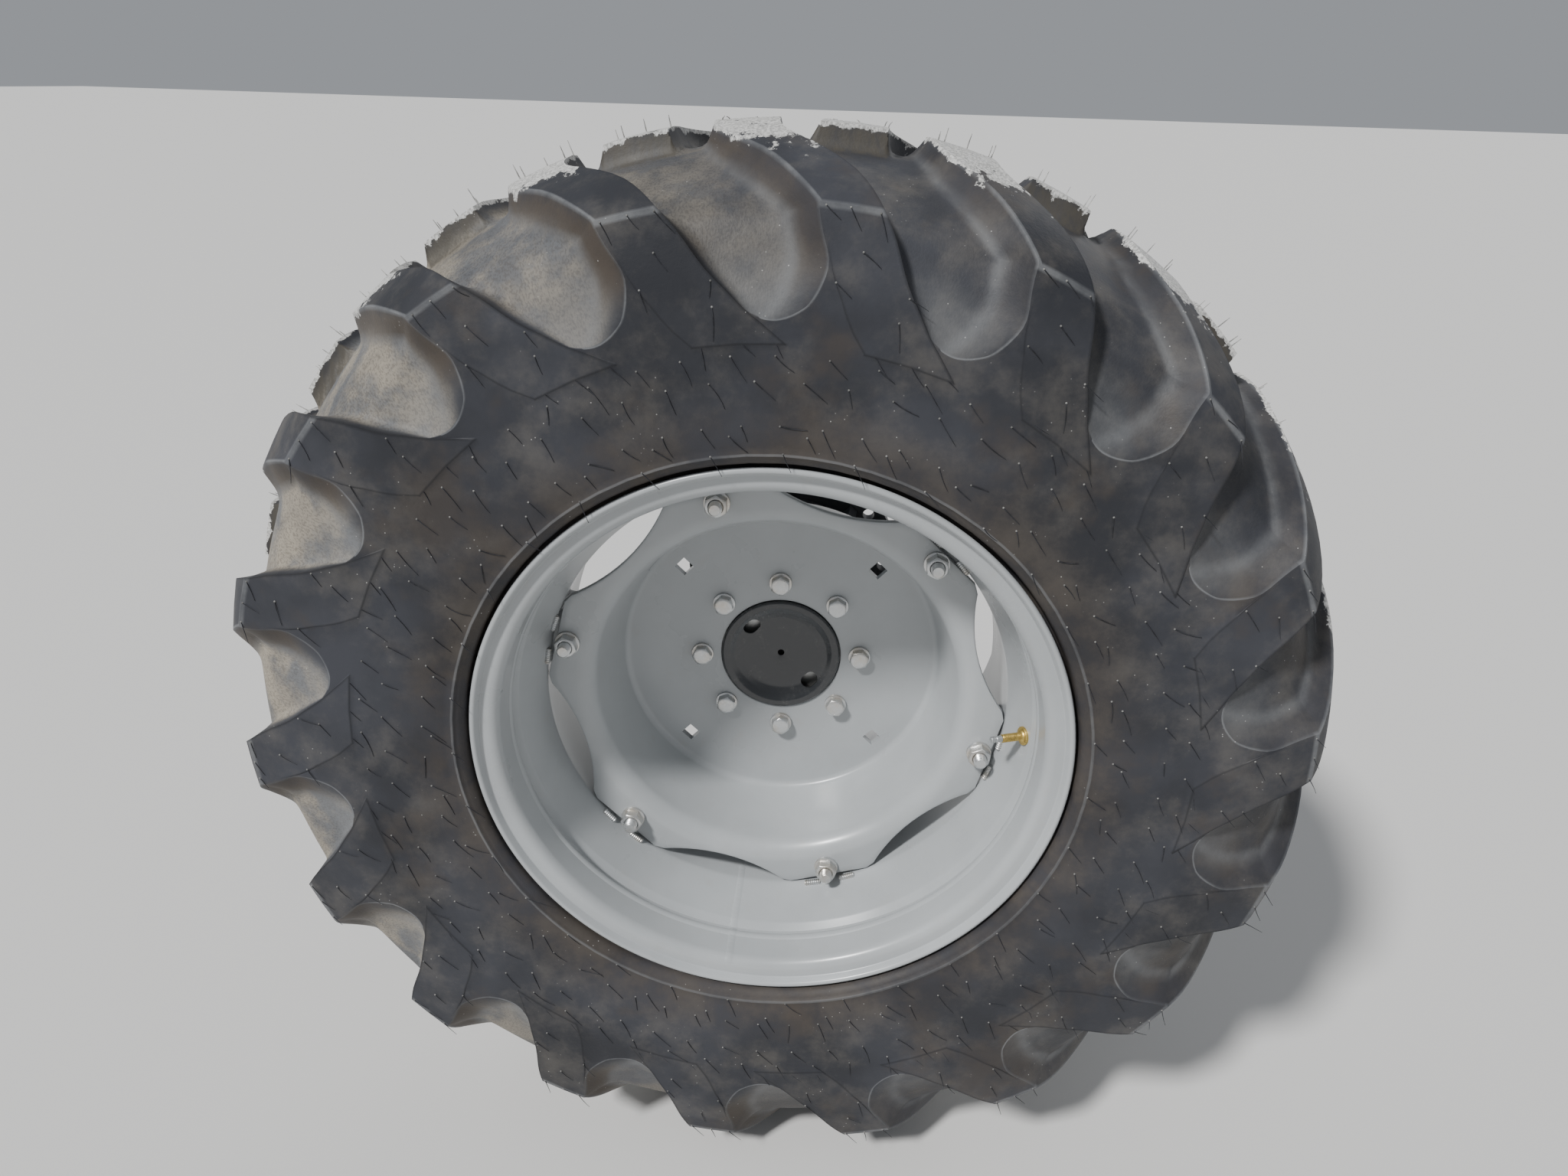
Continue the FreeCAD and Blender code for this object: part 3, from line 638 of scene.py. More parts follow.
def wall_share(beyond_edge, run, fillet):
    """How much of a void's depth is reached beyond a lug's edge: a slope with a round foot."""
    slope = np.maximum(beyond_edge, 0.0) / run
    foot = (slope + 1.0 - np.sqrt((slope - 1.0) ** 2 + fillet**2)) / 2
    start = (1.0 - math.sqrt(1.0 + fillet**2)) / 2
    return np.clip((foot - start) / (1.0 - start), 0.0, 1.0)


def void_share(from_steep, from_sloped, run):
    """How much of its depth a void has between one lug's steep side and the next one's sloped side."""
    return np.minimum(wall_share(from_steep, STEEP_RUN, STEEP_FILLET), wall_share(from_sloped, run, WALL_FILLET))


def foot_line(from_edge, run):
    """A soft painted highlight line along the foot of a lug's sloped side."""
    return 1 - smoothstep(np.abs(from_edge - 0.95 * run), 0.0, 0.35 * run)


def slope_shelter(from_edge, start, full, run, reach):
    """A lug's sheltered sloped side: from its edge down, and gone at a reach, as a share of its run."""
    return smoothstep(from_edge, start, full) * (1 - smoothstep(from_edge, run * 0.7, run * reach))


def control_lines(left, right, spoon, radius, far_left=0.0, far_right=0.0, shape_far=0.0):
    """The control lines of one row, as angles. Shape_far is how much they follow the far side's lug."""
    degree = math.radians(1.0) * radius
    steep, sloped, edge = STEEP_WIDTH / degree, SLOPED_WIDTH / degree, EDGE_WIDTH / degree
    foot = right + steep
    slope_foot = spoon - sloped
    even = [foot + (slope_foot - foot) * k / 6 for k in range(1, 6)]
    shaped = [far_left - edge - sloped, far_left - edge, far_left, far_right, far_right + steep]
    middle = (right + shaped[1]) / 2
    near_foot = foot + shape_far * (min(foot, middle - LEAST_FLOOR) - foot)
    shaped[0] = max(shaped[0], middle + LEAST_FLOOR)
    between = [a + (b - a) * shape_far for a, b in zip(even, shaped)]
    return np.maximum.accumulate([left, right, near_foot, *between, slope_foot, spoon, left + PITCH])


def wall_lines(r, v):
    """The control lines of one row of the upper sidewall."""
    spoon = curve(max(r, SPOON_RIGHT[0][0]), SPOON_RIGHT)
    if v < SPOON_BOTTOM:
        spoon = SPOON_BASE_TURN + (spoon - SPOON_BASE_TURN) * v / SPOON_BOTTOM
    return control_lines(curve(r, LEFT_EDGE_WALL), curve(r, RIGHT_EDGE_WALL), spoon, r)


class TreadHalf:
    """The outboard half of the tyre's outer skin: points and masks by row and column, and sharp edges."""

    def __init__(self):
        stretches = enumerate(TREAD_COLUMNS * 2)
        self.stations = np.array([k + share for k, shares in stretches for share in shares])
        self.on_lug = self.stations <= RIGHT
        self.at_left = self.stations == 0
        self.at_edge = (self.stations >= SPOON) | self.at_left
        self.at_right = self.stations == RIGHT
        self.points, self.masks, self.down, self.across = [], [], [], []
        self.add_bead()
        for v in WALL_ROWS:
            self.add_wall(v)
        for d in CROWN_ROWS:
            self.add_crown(d)

    def turns(self, lines):
        """The angles of a row's columns between its control lines."""
        return np.interp(self.stations, np.arange(LINES), lines)

    def add_row(self, turns, top_d, top_r, place=0.0, shift=0.0, sharp_down=(), sharp_across=(), **masks):
        """One row over all pitches, from the lug tops down to the floor as far as the hollow mask says."""
        share = masks.get("hollow", 0.0)
        d = top_d + (curve(place, FLOOR_LINE) - top_d) * share
        r = top_r + (curve(place, FLOOR_LINE, 2) + shift - top_r) * share
        theta = LUG_PHASE - (turns + PITCH * np.arange(LUGS)[:, None])
        values = [masks.get(name, 0.0) for name in MASKS]
        marks = np.stack(np.broadcast_arrays(*values, turns)[:-1], axis=-1)
        self.points.append(polar(r, theta, RIM_CENTRE_Y - d).reshape(-1, 3))
        self.masks.append(np.tile(marks, (LUGS, 1)))
        self.down.append(np.isin(self.stations, sharp_down))
        spans = [(self.stations >= low) & (self.stations < high) for low, high in sharp_across]
        self.across.append(np.any([self.stations < 0, *spans], axis=0))

    def add_bead(self):
        """The rows of bead and lower sidewall, with a painted highlight line along the ring above the rim."""
        turns = self.turns(wall_lines(BASE_LINE_R, 0.0))
        for d, r in BEAD_LINE:
            self.add_row(turns, d, r, edge=0.5 * (abs(r - RING_LINE_R) < RING_LINE_HALF))

    def add_wall(self, v):
        """One row of the upper sidewall, with the lugs' legs and the hollows between them."""
        plain_r = BASE_LINE_R + v * (SHOULDER_R - BASE_LINE_R)
        lines = wall_lines(plain_r, v)
        turns = self.turns(lines)
        right, spoon = lines[RIGHT], lines[SPOON]
        part = np.clip((turns - right) / (spoon - right), 0, 1)
        beyond = np.clip((turns - spoon) / (lines[-1] - spoon), 0, 1)
        bend = v / SPOON_BOTTOM if v < SPOON_BOTTOM else 1 - smoothstep(v, SPOON_BOTTOM, DIP_END)
        shift = bend * (SPOON_TILT * part * (1 - beyond) - SPOON_DIP * part * (1 - part))
        r = plain_r + shift
        place = max((v - SPOON_BOTTOM) / (1 - SPOON_BOTTOM), 0.0)
        degree = math.radians(1.0) * r
        from_spoon = (spoon - turns) * degree
        run = curve(place, SLOPED_RUN)
        share = void_share((turns - right) * degree, from_spoon, run) * (v > SPOON_BOTTOM)
        leg = 1 - smoothstep(plain_r, *LEG_FADE)
        in_spoon = v >= SPOON_BOTTOM
        # Painted highlights: a light line up the spoon's edge that fades higher up, one along the spoon's bottom,
        # and one along the lug tops' edges at the shoulder.
        spoon_highlight = (self.stations == SPOON) * in_spoon * (0.8 - 0.5 * smoothstep(v, *SPOON_HIGHLIGHT_FADE))
        bottom_highlight = (v == SPOON_BOTTOM) * (turns > right + 1.5) * (turns <= spoon)
        top_highlight = (v > TOP_HIGHLIGHT_START) * (self.on_lug | self.at_edge) * (1.7 - v)
        # Painted shade: darker lines along the lug's right edge, the leg's base line and the leg's left edge.
        crease = self.at_right + 0.9 * self.on_lug * (v == 0) + 0.8 * self.at_left * leg
        sharp_across = {SPOON_BOTTOM: [(RIGHT, SPOON)], 1: [(0, RIGHT), (SPOON, LINES)]}
        self.add_row(turns, curve(r, SIDE_LINE) + LEG_RAISE * self.on_lug * leg, r, place, shift,
                     (RIGHT, SPOON) if in_spoon else (), sharp_across.get(v, ()), hollow=share,
                     sheltered=slope_shelter(from_spoon, -2.0, 4.0, run, 1.25) * smoothstep(place, *SHELTER_RISE),
                     edge=np.maximum(np.maximum(spoon_highlight, bottom_highlight), top_highlight),
                     crease=np.minimum(crease, 1.0), foot=foot_line(from_spoon, run) * share,
                     bloom=share * (1 - smoothstep(place, *BLOOM_FADE)))

    def add_crown(self, d):
        """One row over the crown, with the lugs of this side and the noses of the other side's."""
        left, right = curve(d, LEFT_EDGE_CROWN), curve(d, RIGHT_EDGE_CROWN)
        far_left, far_right = [PITCH / 2 + curve(-d, edge) for edge in (LEFT_EDGE_CROWN, RIGHT_EDGE_CROWN)]
        top_r = curve(d, CROWN_LINE)
        degree = math.radians(1.0) * top_r
        edge_width = EDGE_WIDTH / degree
        slope_top = left + PITCH - edge_width
        shape_far = 1.0 - smoothstep(d, *FAR_LUG_FADE)
        turns = self.turns(control_lines(left, right, slope_top, top_r, far_left, far_right, shape_far))
        place = 2.0 - d / SHOULDER_D
        run = curve(place, SLOPED_RUN)
        from_left = (slope_top - turns) * degree
        near = void_share((turns - right) * degree, from_left, run)
        far = np.where(turns < (far_left + far_right) / 2,
                       wall_share((far_left - edge_width - turns) * degree, run, WALL_FILLET),
                       wall_share((turns - far_right) * degree, STEEP_RUN, STEEP_FILLET))
        share = np.minimum(near, np.maximum(far, wall_share(d - NOSE_REACH, NOSE_RUN, WALL_FILLET)))
        on_far = (turns > far_left - 1.0) * (turns < far_right + 0.6)
        # Lug edges over the crown: painted highlight along the left edges and painted shade along the right edges.
        self.add_row(turns, d, top_r, place, 0.0,
                     (RIGHT, FAR_LEFT, FAR_RIGHT, SPOON) if d <= NOSE_REACH else (RIGHT, SPOON),
                     [(FAR_LEFT, FAR_RIGHT)] if d == NOSE_REACH else (), hollow=share,
                     sheltered=slope_shelter(from_left, 0.0, 5.0, run, 1.3),
                     wear=(1 - smoothstep(d, *WEAR_FADE)) * (1 - np.clip(share * 3, 0, 1)),
                     edge=0.8 * self.at_edge, crease=0.6 * self.at_right,
                     face=on_far * smoothstep(d, *FACE_RISE) * (1 - smoothstep(d, *FACE_FADE)),
                     foot=foot_line(from_left, run) * near)


def mirrored_half(half):
    """The inboard half of a skin: mirrored, and turned by half a pitch."""
    shifted = np.roll(half, half.shape[1] // (2 * LUGS), axis=1)
    turn = math.radians(-PITCH / 2)
    x, y, z = np.moveaxis(shifted, -1, 0)
    return np.stack([x * math.cos(turn) - z * math.sin(turn), 2 * RIM_CENTRE_Y - y,
                     x * math.sin(turn) + z * math.cos(turn)], axis=-1)


def mark_sharp(mesh, columns, down, across):
    """Mark the lugs' own edges as sharp. Both tables hold one pitch of the outboard half, row by row."""
    last, pitch = down.shape[0] - 1, down.shape[1]
    down = np.vstack([down[:-1], np.roll(down, pitch // 2, axis=1)[-2::-1]])
    across = np.vstack([across, np.roll(across, pitch // 2, axis=1)[-2::-1]])
    ends = np.zeros(len(mesh.edges) * 2, np.int64)
    mesh.edges.foreach_get("vertices", ends)
    rows, places = np.divmod(ends.reshape(-1, 2), columns)
    flags = np.zeros(len(mesh.edges), bool)
    mesh.edges.foreach_get("use_edge_sharp", flags)
    top = rows.min(axis=1)
    start = np.where(np.ptp(places, axis=1) > 1, places.max(axis=1), places.min(axis=1)) % pitch
    runs_down = (places[:, 0] == places[:, 1]) & (rows.max(axis=1) <= 2 * last)
    runs_across = (rows[:, 0] == rows[:, 1]) & (top <= 2 * last)
    flags |= runs_down & down[np.minimum(top, 2 * last - 1), start]
    flags |= runs_across & across[np.minimum(top, 2 * last), start]
    mesh.edges.foreach_set("use_edge_sharp", flags)


def tyre_piece(looks):
    """The tyre as one closed skin, outside and inside."""
    half = TreadHalf()
    outer, masks = np.array(half.points), np.array(half.masks)
    columns = outer.shape[1]
    angles = np.degrees(np.arctan2(outer[0, :, 2], outer[0, :, 0]))
    inner = np.array([polar(r, angles, RIM_CENTRE_Y - d) for d, r in INNER_LINE])
    loop = np.vstack([outer, mirrored_half(outer)[-2::-1], mirrored_half(inner), inner[::-1]])
    back_masks = np.roll(masks, columns // (2 * LUGS), axis=1)[-2::-1]
    all_masks = np.vstack([masks, back_masks, np.zeros((2 * len(inner), columns, len(MASKS)))])
    form = Form()
    form.add(loop, grid_faces(loop.shape[0], columns, closed_rows=True))
    mesh = build_mesh("tyre_skin", form)
    for k, name in enumerate(MASKS):
        layer = mesh.attributes.new(name, "FLOAT", "POINT")
        layer.data.foreach_set("value", all_masks[..., k].ravel().astype(np.float32))
    finish_mesh(mesh, 48.0, weld=False)
    mark_sharp(mesh, columns, np.array(half.down), np.array(half.across))
    place_piece("tyre_skin", mesh, [rubber_material(looks)], replaced=("tyre",))


# Vent hairs of one pitch on the sidewall: angle after the lug's shoulder corner, radius, share of
# the mean length. Then the rows of hairs that run all around: radius, count, first angle, share.
LUG_HAIRS = [(0.35, 579.5, 0.8), (2.7, 580, 0.7), (5.2, 579, 0.9), (4.4, 545, 0.9), (9.4, 492, 1),
             (2.3, 516, 1), (9.6, 515, 0.8), (7.6, 458.6, 0.9), (12, 458.2, 0.9), (16.3, 458.4, 0.9)]
HAIR_ROWS = [(446, 61, 1.4, 1), (422, 61, 4.1, 1), (379, 62, 2.2, 1), (369.5, 31, 3.9, 0.9),
             (350, 31, 7.6, 0.8)]
# Hairs on the lugs' noses: angle after the shoulder corner, distance from the centre plane, share
NOSE_HAIRS = [(-10.1, 8, 0.6), (-9.6, 2, 0.5), (-7.4, -6, 0.6), (-5.2, 4, 0.5), (-4.95, -9, 0.7)]
NOSE_HAIR_RADIUS = 0.8
NOSE_HAIR_ROOT = 0.4
HAIR_LEAN = -52.0
HAIR_RADIUS = 0.55
HAIR_TIP = 0.45
# How far a lying hair's five points stand off the rubber, and the most that they may reach
HAIR_RISE = (0.2, 0.75, 0.8, 0.75, 0.6)
HAIR_REACH = 223.6
BOX_MARGIN = 1.5
NUB_RADIUS = 1.1
LEG_HAIRS = (460.0, 550.0)


def side_distance(r):
    """How far the sidewall stands from the centre plane at a radius."""
    table = np.array([(radius, distance) for distance, radius in BEAD_LINE[BEAD_ROWS:]] + SIDE_LINE[1:])
    return float(np.interp(r, table[:, 0], table[:, 1]))


def strand(form, path, radius, finish=0):
    """A thin tapered hair along a path of points."""
    path = np.array(path)
    steps = np.gradient(path, axis=0)
    steps /= np.linalg.norm(steps, axis=1)[:, None]
    side = np.cross(steps, (0.31, 0.22, 0.92))
    side /= np.linalg.norm(side, axis=1)[:, None]
    form.tube(path, radius * np.linspace(1.0, HAIR_TIP, len(path)), side, np.cross(steps, side), 4, finish)


def sidewall_hair(form, chance, angle, r, length, sign, lift=0.0):
    """A hair that lies on the sidewall, or lifted onto a lug's leg, with the light nub it grows from."""
    base = polar(r, angle, 0.0)
    lean = math.radians(HAIR_LEAN + chance.normal(0.0, 16.0))
    bend = math.radians(chance.normal(0.0, 8.0))
    path = [base]
    for k in range(4):
        turn = lean + bend * k / 3
        path.append(path[-1] + length / 4 * np.array([math.cos(turn), 0.0, math.sin(turn)]))
    for point, rise in zip(path, HAIR_RISE):
        reach = min(side_distance(math.hypot(point[0], point[2])) + lift + rise, HAIR_REACH)
        point[1] = RIM_CENTRE_Y - sign * reach
    strand(form, path, HAIR_RADIUS)
    foot = side_distance(r) + lift
    place = along((base[0], RIM_CENTRE_Y - sign * foot, base[2]), (0, -sign, 0))
    nub = [(NUB_RADIUS, -0.4), (NUB_RADIUS, 0.3), (NUB_RADIUS * 0.6, 0.7), (0, 0.8)]
    form.lathe(nub, place, 8, finish=1)


def nose_hair(form, chance, angle, d, length, sign):
    """A hair that stands on a lug's worn top. It leans over where it would reach past the tyre's top."""
    turn = math.radians(angle)
    outward = max(abs(math.cos(turn)), abs(math.sin(turn)))
    r = float(curve(abs(d), CROWN_LINE)) - NOSE_HAIR_ROOT
    rise = max(min(length, (mm(cad_box[1].x) - BOX_MARGIN) / outward - r), NOSE_HAIR_ROOT)
    lean = math.sqrt(max(length**2 - rise**2, 0.0)) * chance.choice((-1.0, 1.0))
    path = []
    for t in (0.0, 0.25, 0.5, 0.75, 1.0):
        path.append(polar(r + rise * t, angle + math.degrees(0.35 * lean * t * t / r),
                          RIM_CENTRE_Y - sign * (d + 0.9 * abs(lean) * t * t)))
    strand(form, path, NOSE_HAIR_RADIUS, finish=2)


def hair_pieces(looks):
    """The rubber hairs that the mould's vents left, one piece for each side of the tyre."""
    chance = np.random.default_rng(7)
    finishes = [hair_material("vent_hair", looks.rubber), hair_material("vent_nub", shade(looks.worn, 0.35)),
                hair_material("nose_hair", shade(looks.worn, 0.8))]
    mean = mm(looks.hair_length)
    for side, sign, shift in (("outboard", 1, 0.0), ("inboard", -1, PITCH / 2)):
        form = Form()
        for pitch in range(LUGS):
            start = LUG_PHASE - PITCH * pitch - shift
            for after, r, share in LUG_HAIRS:
                length = mean * share * chance.uniform(0.75, 1.3)
                lift = LEG_RAISE if LEG_HAIRS[0] < r < LEG_HAIRS[1] else 0.0
                sidewall_hair(form, chance, start - after + chance.normal(0.0, 0.12), r, length, sign, lift)
            for after, d, share in NOSE_HAIRS:
                length = mean * share * chance.uniform(0.6, 1.2)
                nose_hair(form, chance, start - after + chance.normal(0.0, 0.1), d, length, sign)
        for r, count, first, share in HAIR_ROWS:
            for k in range(count):
                length = mean * share * chance.uniform(0.7, 1.35)
                angle = first + 360.0 * k / count + chance.normal(0.0, 0.2)
                sidewall_hair(form, chance, angle, r, length, sign)
        piece_of("vent_hairs_" + side, form, finishes, sharp_angle=60.0)


# Rim: the middle of the sheet, by distance from the centre plane and radius, and its bends
RIM_LINE = [(203, 329.1), (194, 325.2), (194, 306.2), (157, 303.8), (152.5, 300.7), (145.5, 307.2),
            (138.5, 307.2), (129, 300), (75, 280)]
RIM_BENDS = {1: 5, 2: 9, 3: 4, 4: 4, 5: 4, 6: 4, 7: 8, 8: 14}
RIM_SHEET = 7.0
WELL_HALF_WIDTH, WELL_R = RIM_LINE[-1]
WELL_INNER_R = WELL_R - RIM_SHEET / 2

SEAM_ANGLE = -98.0
SEAM_HALF_WIDTH = 5.0
SEAM_HEIGHT = 0.9
SEAM_SUNK = 0.15
SEAM_RIPPLE = 6.6
SEAM_END = 14.0
SEAM_STEP = 2.2


def rim_piece(paint):
    """The rim: curled flanges, bead seats with their humps, and the drop centre."""
    path = [(radius, RIM_CENTRE_Y - distance) for distance, radius in RIM_LINE]
    path += [(radius, RIM_CENTRE_Y + distance) for distance, radius in RIM_LINE[::-1]]
    bends = RIM_BENDS | {len(path) - 1 - k: radius for k, radius in RIM_BENDS.items()}
    line = rounded(path, bends)
    form = Form()
    form.revolve(sheet_outline(line, RIM_SHEET), np.arange(240) * 1.5)
    seam_form(form, line)
    piece_of("rim_barrel", form, [paint], replaced=("rim",))


def seam_form(form, line):
    """The rippled weld across the rim, on the side that faces the axle."""
    inner = beside(line, RIM_SHEET / 2)
    lengths = np.concatenate([[0.0], np.cumsum(np.hypot(*np.diff(inner, axis=0).T))])
    at = np.arange(SEAM_END, lengths[-1] - SEAM_END, SEAM_STEP)
    r, y = [np.interp(at, lengths, inner[:, k]) for k in (0, 1)]
    across = np.linspace(-1.0, 1.0, 9)
    ripple = 0.75 + 0.25 * np.cos(at * 2 * np.pi / SEAM_RIPPLE)
    height = SEAM_HEIGHT * (1 - across[None, :] ** 2) * ripple[:, None] - SEAM_SUNK
    turns = SEAM_ANGLE + np.degrees(SEAM_HALF_WIDTH * across / WELL_INNER_R)
    form.add(polar(r[:, None] - height, turns[None, :], y[:, None]), grid_faces(len(at), len(across), False))


# Disc. Its six ears are flat-ended, with a shoulder before the round scallop.
PLATE_R = 206.0
PLATE_ROWS = (110.0, 145.0, 172.0, 184.0)
ANNULUS_R = 227.0
DISC_BORE_R = 77.0
DISC_BENDS = {1: 14, 2: 20}
EARS = 6
EAR_STEP = 360.0 / EARS
EAR_PHASE = 106.2
EAR_TIP_R = 275.5
EAR_SHOULDER_R = 272.0
EAR_HALF_ANGLE = 10.5
EAR_SHOULDER_ANGLE = 13.0
SCALLOP_R = 245.3
EDGE_ROUND = 1.8
SQUARE_R = 171.5
SQUARE_SIDE = 17.0
SQUARE_PHASE = 46.6
# Where the shapes that cut the disc's and the cap's holes start, and how far they run outboard
HOLE_START_Y = HUB_FACE_Y + 20.0
HOLE_DEPTH = 40.0
# Columns of the disc on each side of an ear's middle
EAR_COLUMNS = (0, 0.5, 0.75, 0.9, 0.97, 1, 2, 3, 4, 6.5, 7.5, 8.5, 9.5, 9.8, 10.5, 11.5, 12.5, 13, 15, 17, 19,
               21.5, 24, 27, 30)


def ear_edge(angle):
    """The radius of the disc's edge at an angle."""
    half_step = EAR_STEP / 2
    off = abs((angle - EAR_PHASE + half_step) % EAR_STEP - half_step)
    if off <= EAR_HALF_ANGLE:
        return EAR_TIP_R * math.cos(math.radians(EAR_HALF_ANGLE)) / math.cos(math.radians(off))
    if off < EAR_SHOULDER_ANGLE:
        share = (off - EAR_HALF_ANGLE) / (EAR_SHOULDER_ANGLE - EAR_HALF_ANGLE)
        return EAR_TIP_R + (EAR_SHOULDER_R - EAR_TIP_R) * share
    corner = math.radians(half_step - EAR_SHOULDER_ANGLE)
    x, h = EAR_SHOULDER_R * math.cos(corner), EAR_SHOULDER_R * math.sin(corner)
    centre = (x * x + h * h - SCALLOP_R**2) / (2 * (x - SCALLOP_R))
    turn = math.radians(half_step - off)
    return centre * math.cos(turn) - math.sqrt((centre - SCALLOP_R) ** 2 - (centre * math.sin(turn)) ** 2)


def disc_piece(paint):
    """The pressed disc: plate, flared wall, and the annulus with six ears."""
    plate_y, ear_y = HUB_FACE_Y + DISC_THICKNESS / 2, EAR_FACE_Y + DISC_THICKNESS / 2
    line = rounded([(DISC_BORE_R, plate_y), (PLATE_R, plate_y), (ANNULUS_R, ear_y), (EAR_TIP_R + 30.0, ear_y)],
                   DISC_BENDS, steps=8)
    offsets = np.array(sorted({sign * step for step in EAR_COLUMNS for sign in (1, -1)}))
    angles = np.concatenate([EAR_PHASE + EAR_STEP * k + offsets[:-1] for k in range(EARS)])
    edge = np.array([ear_edge(angle) for angle in angles])

    def surface(away, y_edge):
        """Rows from the bore to the edge on one face, which is away from the sheet's middle."""
        side = beside(line, away * DISC_THICKNESS / 2)
        y_bore, start = side[0, 1], side[-2, 0]
        turn_in = -away * EDGE_ROUND
        made = [(DISC_BORE_R, y_bore + turn_in), (DISC_BORE_R + EDGE_ROUND * 0.3, y_bore + turn_in * 0.3)]
        made += [(r, y_bore) for r in (DISC_BORE_R + EDGE_ROUND, *PLATE_ROWS)]
        made += [tuple(point) for point in side[1:-1]]
        made += [(start + (edge - EDGE_ROUND - start) * share, y_edge) for share in (0.35, 0.7, 1.0)]
        made += [(edge - EDGE_ROUND * 0.3, y_edge + turn_in * 0.3), (edge, y_edge + turn_in)]
        return made

    rows = surface(-1.0, EAR_FACE_Y) + surface(1.0, EAR_FACE_Y + DISC_THICKNESS)[::-1]
    points = np.array([polar(r, angles, y) for r, y in rows])
    form = Form()
    form.add(points, grid_faces(len(rows), len(angles), closed_rows=True))
    holes = Form()
    square = np.array([(-1, -1), (1, -1), (1, 1), (-1, 1)]) * SQUARE_SIDE / 2
    for k in range(4):
        angle = SQUARE_PHASE + 90.0 * k
        hole_form(holes, square, outboard(SQUARE_R, angle, HOLE_START_Y, angle))
    mesh = cut_form("wheel_disc", form, holes, 32.0)
    place_piece("disc_pressing", mesh, [paint], replaced=("wheel_disc",))


def hole_form(form, shape, place):
    """A closed prism of a flat shape, from a place along its Z axis."""
    n = len(shape)
    points = np.array([(x, y, z) for z in (0.0, HOLE_DEPTH) for x, y in shape])
    sides = [[k, (k + 1) % n, n + (k + 1) % n, n + k] for k in range(n)]
    form.add_at(points, sides + [list(range(n))[::-1], list(range(n, 2 * n))], place)


WELD_OFF = 4.7
WELD_HALF_ANGLE = 2.2
WELD_RADIUS = 4.2
WELD_POINTS = 25


def bracket_welds(zinc):
    """The bare weld beads beside the six ears, on the rim's well."""
    form = Form()
    swell = WELD_RADIUS * (0.86 + 0.14 * np.cos(np.arange(WELD_POINTS) * 2 * np.pi / 3))
    swell[[0, -1]] = 0.3
    for k in range(EARS):
        for off in (-WELD_OFF, WELD_OFF):
            middle = EAR_PHASE + EAR_STEP * k + off
            turns = np.linspace(middle - WELD_HALF_ANGLE, middle + WELD_HALF_ANGLE, WELD_POINTS)
            path = polar(WELL_INNER_R + 0.4, turns, EAR_FACE_Y - 3.0)
            form.tube(path, swell, polar(-1.0, turns, 0.0), np.array([[0.0, -1.0, 0.0]]), 8)
    piece_of("bracket_welds", form, [zinc], sharp_angle=50.0)


def hexagon_form(form, place, flats, height, bore=0.0, dome=0.0):
    """A hexagon head or nut with its chamfered end, standing on the place's XY plane."""
    turns = circle(60)
    sixth = math.pi / 3
    hexagon = flats / 2 / np.cos((turns + sixth / 2) % sixth - sixth / 2)
    corner = flats / math.sqrt(3.0)
    crown = flats * 0.465
    chamfer = (corner - crown) * 0.62
    limits = [(corner * 0.94, 0.0), (corner, 0.7)]
    limits += [(corner - (corner - crown) * k / 5, height - chamfer * (1 - k / 5)) for k in range(6)]
    if bore > 0:
        limits += [(bore + 1.0, height), (bore, height - 0.8), (bore, 0.0)]
    else:
        limits += [(crown * 0.8, height + dome * 0.5), (crown * 0.4, height + dome * 0.9), (0.0, height + dome)]
    rows = np.array([ring(np.minimum(hexagon, limit), turns, z) for limit, z in limits])
    form.add_at(rows, grid_faces(len(rows), len(turns), closed_rows=bore > 0), place)


def washer_form(form, place, outer, bore, thickness):
    """A washer with slightly round edges."""
    form.lathe([(bore, 0), (outer, 0), (outer, thickness - 0.6), (outer - 0.2, thickness - 0.2),
                (outer - 0.6, thickness), (bore + 0.4, thickness), (bore, thickness - 0.4), (bore, 0)], place, 48)


def thread_form(form, place, radius, start, end, pitch, per_turn=6):
    """A threaded stud end with a chamfered tip."""
    turns = circle(30)
    depth = 0.55 * pitch
    rows = []
    for z in np.arange(start, end, pitch / per_turn):
        wave = np.abs(((z / pitch - turns / (2 * np.pi)) % 1.0) - 0.5) * 2
        rows.append(ring(radius - depth * wave, turns, z))
    tip = end + 0.5 * pitch
    rows += [ring(r, turns, z) for r, z in ((radius - depth, end), (radius - pitch, tip), (0.0, tip))]
    form.add_at(np.array(rows), grid_faces(len(rows), len(turns)), place)


HUB_CIRCLE_R = 101.6
HUB_BOLT_PHASE = 91.6
RIM_CIRCLE_R = 256.8
WASHER = 3.5
BRACKET_PLATE = 12.0


def hub_bolts_piece(zinc):
    """Eight bolts with their washers, in the disc's plate."""
    form = Form()
    for k in range(8):
        angle = HUB_BOLT_PHASE + 45.0 * k
        washer_form(form, outboard(HUB_CIRCLE_R, angle, HUB_FACE_Y), outer=14.2, bore=7.5, thickness=WASHER)
        head = outboard(HUB_CIRCLE_R, angle, HUB_FACE_Y - WASHER, turn=17.0 * k)
        hexagon_form(form, head, flats=22.0, height=9.4, dome=0.6)
        form.lathe([(7, 0), (7, 31), (6, 31.5), (0, 31.5)], inboard(HUB_CIRCLE_R, angle, HUB_FACE_Y))
    piece_of("hub_bolt_set", form, [zinc], replaced=("hub_bolts",))


